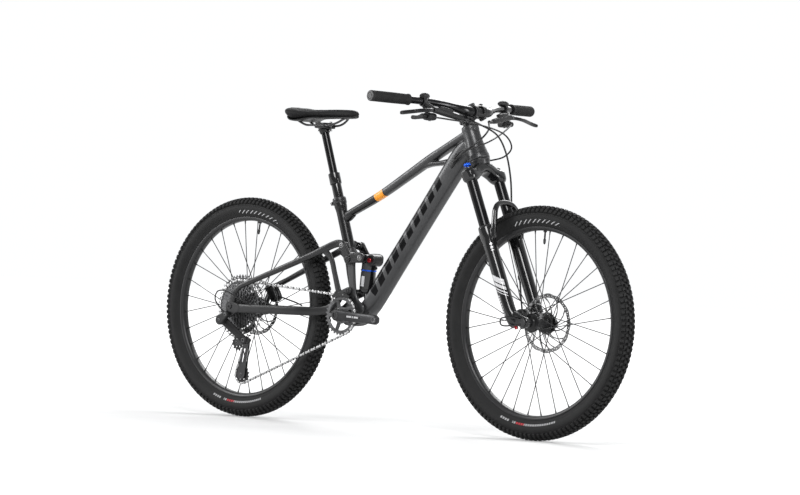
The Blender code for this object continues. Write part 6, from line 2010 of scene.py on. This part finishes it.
# ---------------------------------------------------------------- cockpit
BAR_HALF = [
    (0.378, 0.82, 1.006), (0.238, 0.853, 1.003), (0.17, 0.872, 1.0005), (0.12, 0.888, 0.9955),
    (0.085, 0.902, 0.9885), (0.055, 0.915, 0.9825), (0.03, 0.9196, 0.981),
]


def bar_point(y):
    stations = BAR_HALF[::-1]
    for (y0, x0, z0), (y1, x1, z1) in zip(stations, stations[1:]):
        if abs(y) <= y1:
            t = max(0.0, (abs(y) - y0) / (y1 - y0))
            return side((x0 + (x1 - x0) * t, z0 + (z1 - z0) * t), y)
    return side((stations[-1][1], stations[-1][2]), y)


def make_handlebar():
    half = [side((x, z), y) for y, x, z in BAR_HALF]
    radii = [0.0111] * 4 + [0.0125, 0.0152, 0.0159]
    mirrored = [Vector((p.x, -p.y, p.z)) for p in half[::-1]]
    tube = wire(half + mirrored, 0.0111, 48, 0.006, radii + radii[::-1])
    piece("handlebar", tube, BAR_ALLOY, "steering", 60)
    for name, y_sign in (("grip_right", -1), ("grip_left", 1)):
        outer, inner = bar_point(y_sign * 0.3778), bar_point(y_sign * 0.242)
        along = (outer - inner).normalized()
        length = (outer - inner).length
        profile = [(0.0114, 0.0), (0.0165, 0.0), (0.0172, 0.0008), (0.0172, 0.005), (0.016, 0.007)]
        ribs = 44
        for k in range(ribs):
            s = 0.0085 + (length - 0.0165) * k / ribs
            swell = 0.0156 + 0.0006 * sin(pi * k / ribs) + 0.0006 * (k / ribs) ** 4
            profile += [
                (swell - 0.0005, s), (swell + 0.0003, s + 0.0007), (swell + 0.0003, s + 0.0018),
                (swell - 0.0005, s + 0.0024),
            ]
        profile += [
            (0.0162, length - 0.006), (0.0166, length - 0.005), (0.0166, length), (0.0158, length + 0.0012),
            (0.0114, length + 0.0012),
        ]
        piece(name, lathe(profile[::-1], inner, along, 72), GRIP_SKIN, "steering", 40)
        plug = lathe(
            [
                (0, length + 0.0036), (0.009, length + 0.0038), (0.0098, length + 0.003),
                (0.0112, length + 0.004), (0.015, length + 0.0038), (0.0158, length + 0.0026),
                (0.0158, length + 0.0008), (0, length + 0.0008),
            ],
            inner, along, 56,
        )
        piece(name + "_end", plug, END_PLUG, "steering", 30)


STEM_HEIGHT = 0.1525
STEM_BOLTS = [(h, y) for h in (-0.0205, 0.0205) for y in (-0.019, 0.019)]


def arc_of(first, last, steps):
    """Unit points round an arc, from one angle in degrees to another."""
    angles = [radians(first + (last - first) * k / steps) for k in range(steps + 1)]
    return [(cos(a), sin(a)) for a in angles]


def band(centre, arc, outer, inner, y):
    """A cross-section of a curved plate round the bar clamp."""
    def at(radius, c, s):
        return centre + (STEER_FORWARD * c + STEER_UP * s) * radius + LEFT * y

    return [at(outer, c, s) for c, s in arc] + [at(inner, c, s) for c, s in arc[::-1]]


def make_stem():
    clamp = side((0.9196, 0.981))
    column = lathe(
        [
            (0.0196, 0.1715), (0.0204, 0.1708), (0.0204, 0.134), (0.0196, 0.1332), (0.0146, 0.1332),
            (0.0146, 0.1715),
        ],
        CROWN, STEER_UP, 72,
    )
    neck = loft([
        (on_steerer(STEM_HEIGHT, 0.006), 0.015, 0.019), (on_steerer(STEM_HEIGHT, 0.018), 0.0165, 0.0175),
        (on_steerer(STEM_HEIGHT, 0.026), 0.02, 0.0165), (on_steerer(STEM_HEIGHT, 0.031), 0.024, 0.017),
    ], 3.4, 56, step=0.003)
    pinch = loft(
        [(on_steerer(STEM_HEIGHT, -0.026), 0.012, 0.016), (on_steerer(STEM_HEIGHT, -0.014), 0.0135, 0.018)],
        4, 40, step=0.003,
    )
    half_ring = arc_of(90, 270, 24)
    cradle = skin([
        band(clamp, half_ring, outer, 0.0162, y)
        for outer, y in ((0.0205, -0.0262), (0.0215, -0.025), (0.0215, 0.025), (0.0205, 0.0262))
    ])
    lugs = []
    for h, y in STEM_BOLTS:
        at = clamp + STEER_UP * h
        lugs.append(loft(
            [
                (at - STEER_FORWARD * 0.0105 + LEFT * y, 0.0062, 0.0052),
                (at - STEER_FORWARD * 0.0006 + LEFT * y, 0.0062, 0.0056),
            ],
            3, 32, step=0.003,
        ))
    whole = cast(merged(column, neck, pinch, cradle, *lugs), 0.001, 4)
    piece("stem", whole, ALLOY, "steering", 60)

    face_arc = arc_of(-86, 86, 24)
    face_parts = []
    for y_low, y_high in ((-0.0262, -0.011), (0.011, 0.0262)):
        rings = []
        for y in (y_low, y_low + 0.001, y_high - 0.001, y_high):
            rings.append(band(clamp, face_arc, 0.021 if y in (y_low, y_high) else 0.0219, 0.0163, y))
        face_parts.append(skin(rings))
    for middle in (-52, 52):
        arc = arc_of(middle - 16, middle + 16, 6)
        face_parts.append(skin([band(clamp, arc, 0.0216, 0.0168, y) for y in (-0.012, 0.012)]))
    for h, y in STEM_BOLTS:
        at = clamp + STEER_UP * h + LEFT * y
        face_parts.append(loft(
            [(at + STEER_FORWARD * 0.0012, 0.0062, 0.0054), (at + STEER_FORWARD * 0.0105, 0.0056, 0.0046)],
            3, 32, step=0.003,
        ))
    piece("stem_faceplate", cast(merged(*face_parts), 0.0008, 3), ALLOY, "steering", 60)
    bolts = bmesh.new()
    for h, y in STEM_BOLTS:
        bolt(bolts, clamp + STEER_UP * h + LEFT * y + STEER_FORWARD * 0.0102, STEER_FORWARD, 0.0036, 0.002)
    for h in (-0.009, 0.009):
        bolt(bolts, on_steerer(STEM_HEIGHT + h, -0.021, -0.0112), -LEFT, 0.0036, 0.0022)
    piece("stem_bolts", bolts, BOLT_STEEL, "steering", 30)
    spacer = lathe(
        [
            (0.018, 0.133), (0.0186, 0.1324), (0.0186, 0.124), (0.02, 0.1236), (0.0235, 0.1222),
            (0.0258, 0.1214), (0.0258, 0.1211), (0.0148, 0.1211), (0.0148, 0.133),
        ],
        CROWN, STEER_UP, 72,
    )
    piece("headset_spacer", spacer, ALLOY, "steering", 30)
    cap = lathe(
        [
            (0, 0.1742), (0.0036, 0.1742), (0.004, 0.1765), (0.013, 0.1765), (0.0168, 0.1748),
            (0.0176, 0.1728), (0.0176, 0.1716), (0, 0.1716),
        ],
        CROWN, STEER_UP, 56,
    )
    piece("stem_cap", cap, ALLOY, "steering", 30)
    centre_bolt = bmesh.new()
    bolt(centre_bolt, CROWN + STEER_UP * 0.1742, STEER_UP, 0.0036, 0.0018)
    piece("stem_cap_bolt", centre_bolt, BOLT_STEEL, "steering", 30)


def make_controls():
    for name, y_sign, extra in (("right", -1, "shifter"), ("left", 1, "remote")):
        def at(x, z, y):
            return side((x, z), y_sign * y)

        outward = LEFT * y_sign
        mid = bar_point(y_sign * 0.19)
        along = (bar_point(y_sign * 0.2) - bar_point(y_sign * 0.18)).normalized()
        clamp = lathe(
            [
                (0.0116, 0.0068), (0.0116, -0.0068), (0.016, -0.0068), (0.0166, -0.006), (0.0166, 0.006),
                (0.016, 0.0068),
            ],
            mid, along, 56,
        )
        body = loft([
            (at(0.925, 0.954, 0.062), 0.0046, 0.0046), (at(0.9242, 0.9548, 0.068), 0.005, 0.005),
            (at(0.9225, 0.9565, 0.074), 0.0072, 0.0072), (at(0.92, 0.959, 0.088), 0.0082, 0.0084),
            (at(0.914, 0.965, 0.12), 0.009, 0.0096), (at(0.908, 0.9705, 0.148), 0.009, 0.01),
            (at(0.904, 0.9745, 0.168), 0.0084, 0.0096), (at(0.903, 0.975, 0.178), 0.0078, 0.0088),
            (at(0.903, 0.975, 0.1842), 0.0068, 0.0078),
        ], 2.4, 48, across=FORWARD, step=0.004)
        tank = loft(
            [
                (at(0.913, 0.976, 0.108), 0.006, 0.004), (at(0.9105, 0.9785, 0.124), 0.0085, 0.006),
                (at(0.906, 0.9815, 0.146), 0.0085, 0.006), (at(0.904, 0.983, 0.16), 0.006, 0.004),
            ],
            2.8, 40, across=FORWARD, step=0.004,
        )
        hump = loft([
            (mid + outward * -0.021 + Vector((-0.001, 0, 0.015)), 0.007, 0.004),
            (mid + outward * -0.013 + Vector((0.0, 0, 0.017)), 0.0105, 0.0075),
            (mid + Vector((0.002, 0, 0.017)), 0.012, 0.009),
            (mid + outward * 0.012 + Vector((0.003, 0, 0.015)), 0.0095, 0.006),
        ], 2.5, 40, across=FORWARD, step=0.003)
        neck = loft(
            [(mid + Vector((0.008, 0, -0.006)), 0.0072, 0.0072), (at(0.903, 0.975, 0.176), 0.0074, 0.0074)],
            2.6, 32, step=0.003,
        )
        piece(
            f"brake_clamp_{name}", cast(merged(clamp, body, tank, hump, neck), 0.0009, 5), PLASTIC,
            "steering", 60,
        )
        place = at(0.883, 0.956, 0.178)
        shell = loft([
            (place + outward * -0.019, 0.011, 0.007), (place + outward * -0.015, 0.016, 0.0108),
            (place, 0.0172, 0.0122), (place + outward * 0.015, 0.0165, 0.0112),
            (place + outward * 0.019, 0.012, 0.008),
        ], 2.8, 48, across=FORWARD, step=0.003)
        under = bar(mid - UP * 0.01, place, 0.0066, 32, 0.001)
        nose = loft(
            [(at(0.9, 0.955, 0.1765), 0.0052, 0.0052), (place + FORWARD * 0.01, 0.0062, 0.0062)], 2.2, 32,
            step=0.003,
        )
        piece(f"{extra}_body", cast(merged(shell, under, nose), 0.0009, 5), PLASTIC, "steering", 60)
        bolts = bmesh.new()
        bolt(bolts, mid + STEER_FORWARD * 0.016, STEER_FORWARD, 0.0036, 0.0022)
        bolt(bolts, at(0.903, 0.9842, 0.1842), UP, 0.0034, 0.0016)
        bolt(bolts, at(0.883, 0.9436, 0.178), -UP, 0.004, 0.0014)
        piece(f"{extra}_bolts", bolts, BOLT_STEEL, "steering", 30)
        nut = lathe(
            [(0.0028, -0.003), (0.0028, 0.0125), (0.0044, 0.0125), (0.0052, 0.011), (0.0052, -0.003)],
            at(0.925, 0.954, 0.0625), -outward, 6,
        )
        piece(f"hose_nut_{name}", nut, ALLOY, "steering", 30)

        blade = loft([
            (at(0.903, 0.975, 0.1864), 0.004, 0.0054), (at(0.9035, 0.9748, 0.193), 0.0062, 0.0056),
            (at(0.909, 0.973, 0.215), 0.005, 0.0056), (at(0.906, 0.97, 0.245), 0.004, 0.006),
            (at(0.897, 0.964, 0.285), 0.0035, 0.0061), (at(0.893, 0.96, 0.313), 0.0041, 0.0062),
            (at(0.8955, 0.9582, 0.325), 0.0032, 0.0046),
        ], 2.9, 40, across=FORWARD, step=0.004)
        piece(f"brake_lever_{name}", cast(blade, 0.0008, 4), BAR_ALLOY, f"brake_lever_{name}", 60)
        pin = lathe(
            [
                (0, 0.0066), (0.0036, 0.0064), (0.0042, 0.0052), (0.0042, -0.0052), (0.0036, -0.0064),
                (0, -0.0066),
            ],
            at(0.903, 0.975, 0.1945), UP, 28,
        )
        piece(f"brake_lever_{name}_pin", pin, BOLT_STEEL, f"brake_lever_{name}", 30)
        low, high = sorted((y_sign * 0.215, y_sign * 0.1978))
        paddle = flat(
            [strip_outline([(0.883, 0.956, 0.0082), (0.866, 0.9525, 0.0052), (0.845, 0.952, 0.0062)])], low,
            high, 0.0016,
        )
        lever_name = "shift_lever" if y_sign < 0 else "dropper_lever"
        piece(lever_name, cast(paddle, 0.0009, 3), PLASTIC, lever_name, 60)


# ---------------------------------------------------------------- hoses and cables
CABLE_ROUTES = {
    "front_brake_hose": (0.0025, [
        (0.925, -0.06, 0.954), (0.928, -0.048, 0.953), (0.95, -0.02, 0.942), (0.985, 0.02, 0.913),
        (1.003, 0.045, 0.86), (1.0, 0.075, 0.79), (0.993, 0.0935, 0.72), (1.003, 0.086, 0.633),
        (1.029, 0.07, 0.5574), (1.061, 0.065, 0.4842), (1.0758, 0.058, 0.425), (1.087, 0.052, 0.3891),
    ]),
    "rear_brake_hose": (0.0025, [
        (0.925, 0.06, 0.954), (0.928, 0.048, 0.952), (0.952, 0.02, 0.93), (0.966, -0.025, 0.902),
        (0.945, -0.056, 0.87), (0.905, -0.056, 0.846), (0.88, -0.042, 0.834), (0.862, -0.034, 0.827),
    ]),
    "shift_cable": (0.0022, [
        (0.903, -0.178, 0.954), (0.93, -0.15, 0.95), (0.975, -0.06, 0.94), (1.008, 0.02, 0.918),
        (1.01, 0.062, 0.88), (0.975, 0.072, 0.85), (0.93, 0.056, 0.836), (0.898, 0.04, 0.828),
        (0.872, 0.0283, 0.82),
    ]),
    "dropper_cable": (0.0022, [
        (0.903, 0.178, 0.954), (0.93, 0.15, 0.948), (0.96, 0.07, 0.918), (0.978, -0.005, 0.892),
        (0.962, -0.062, 0.868), (0.93, -0.07, 0.862), (0.896, -0.054, 0.85), (0.868, -0.0337, 0.837),
    ]),
}


def make_cables():
    """The four hoses and cables, and the clip that holds the front brake's hose to the fork's leg."""
    held = side((1.061, 0.4842), 0.065)
    below = side((1.0758, 0.425), 0.058)
    for name, (radius, route) in CABLE_ROUTES.items():
        points = [side((x, z), y) for x, y, z in route]
        cable = piece(name, wire(points, radius + 0.0003, 14, 0.005), HOSE, None, 60)
        if name == "front_brake_hose":
            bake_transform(cable)
        else:
            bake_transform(cable)
    clip = lathe(
        [(0.0026, -0.006), (0.0026, 0.006), (0.0048, 0.006), (0.0048, -0.006)], held, below - held, 28,
    )
    piece("hose_clip", clip, PLASTIC, "fork_lowers", 30)


make_front_frame()
make_seat_tube()
make_yoke()
make_frame_fittings()
make_stays()
make_links()
make_shock()
make_seatpost()
make_saddle()
make_wheels()
make_cassette()
make_cranks()
make_chainring()
make_chain()
make_derailleur()
make_fork()
make_calipers()
make_handlebar()
make_stem()
make_controls()
make_cables()


# ---------------------------------------------------------------- floor, backdrop and lights
def make_stage():
    """A wide pale floor that glows a little more the further out it goes, so that it meets the pale sky."""
    n = finish("pale_floor", (0.6, 0.6, 0.6), (0.63, 0.63, 0.63), 3, (0.6, 0.75), 0.0, 0.03, 300)
    x, y = n.dot((1, 0, 0)), n.dot((0, 1, 0))
    away = n.math("SQRT", n.math("ADD", n.math("MULTIPLY", x, x), n.math("MULTIPLY", y, y)))
    n.shader.inputs["Emission Color"].default_value = (1, 1, 1, 1)
    n.link(n.span(away, 1.6, 7.0, 0.1, 0.85), n.shader.inputs["Emission Strength"])
    bm = bmesh.new()
    bmesh.ops.create_circle(bm, cap_ends=True, segments=96, radius=60)
    mesh = bpy.data.meshes.new("floor")
    bm.to_mesh(mesh)
    bm.free()
    mesh.materials.append(n.material)
    obj = bpy.data.objects.new("floor", mesh)
    bpy.context.scene.collection.objects.link(obj)


def make_sky():
    """Soft white all round, brighter behind the bike as the photograph sees it."""
    sky = bpy.data.worlds.new("studio")
    sky.use_nodes = True
    tree = sky.node_tree
    place = tree.nodes.new("ShaderNodeTexCoord")
    dot = tree.nodes.new("ShaderNodeVectorMath")
    dot.operation = "DOT_PRODUCT"
    far_side = radians(40.92)
    dot.inputs[1].default_value = (-sin(far_side), cos(far_side), 0)
    level = tree.nodes.new("ShaderNodeMapRange")
    for socket, value in (("From Min", -0.2), ("From Max", 0.6), ("To Min", 0.36), ("To Max", 1.02)):
        level.inputs[socket].default_value = value
    background = tree.nodes["Background"]
    background.inputs["Color"].default_value = (0.98, 0.99, 1.0, 1)
    tree.links.new(place.outputs["Generated"], dot.inputs[0])
    tree.links.new(dot.outputs["Value"], level.inputs["Value"])
    tree.links.new(level.outputs["Result"], background.inputs["Strength"])
    bpy.context.scene.world = sky


def soft_light(name, place, target, size, power):
    data = bpy.data.lights.new(name, "AREA")
    data.shape = "RECTANGLE"
    data.size, data.size_y = size
    data.energy = power
    obj = bpy.data.objects.new(name, data)
    obj.location = place
    obj.rotation_euler = (Vector(target) - Vector(place)).to_track_quat("-Z", "Y").to_euler()
    bpy.context.scene.collection.objects.link(obj)


make_stage()
soft_light("key", (3.2, -3.6, 4.2), (0, 0, 0.5), (2.2, 2.2), 230)
soft_light("side", (-3.6, -2.6, 2.2), (0, 0, 0.6), (1.2, 2.6), 110)
soft_light("front", (4.5, 0.5, 1.6), (0.3, 0, 0.6), (0.8, 2.6), 80)
soft_light("back", (-1.5, 3.4, 3.4), (0, 0, 0.6), (3.0, 2.0), 110)
make_sky()
bpy.context.scene.view_settings.view_transform = "Standard"
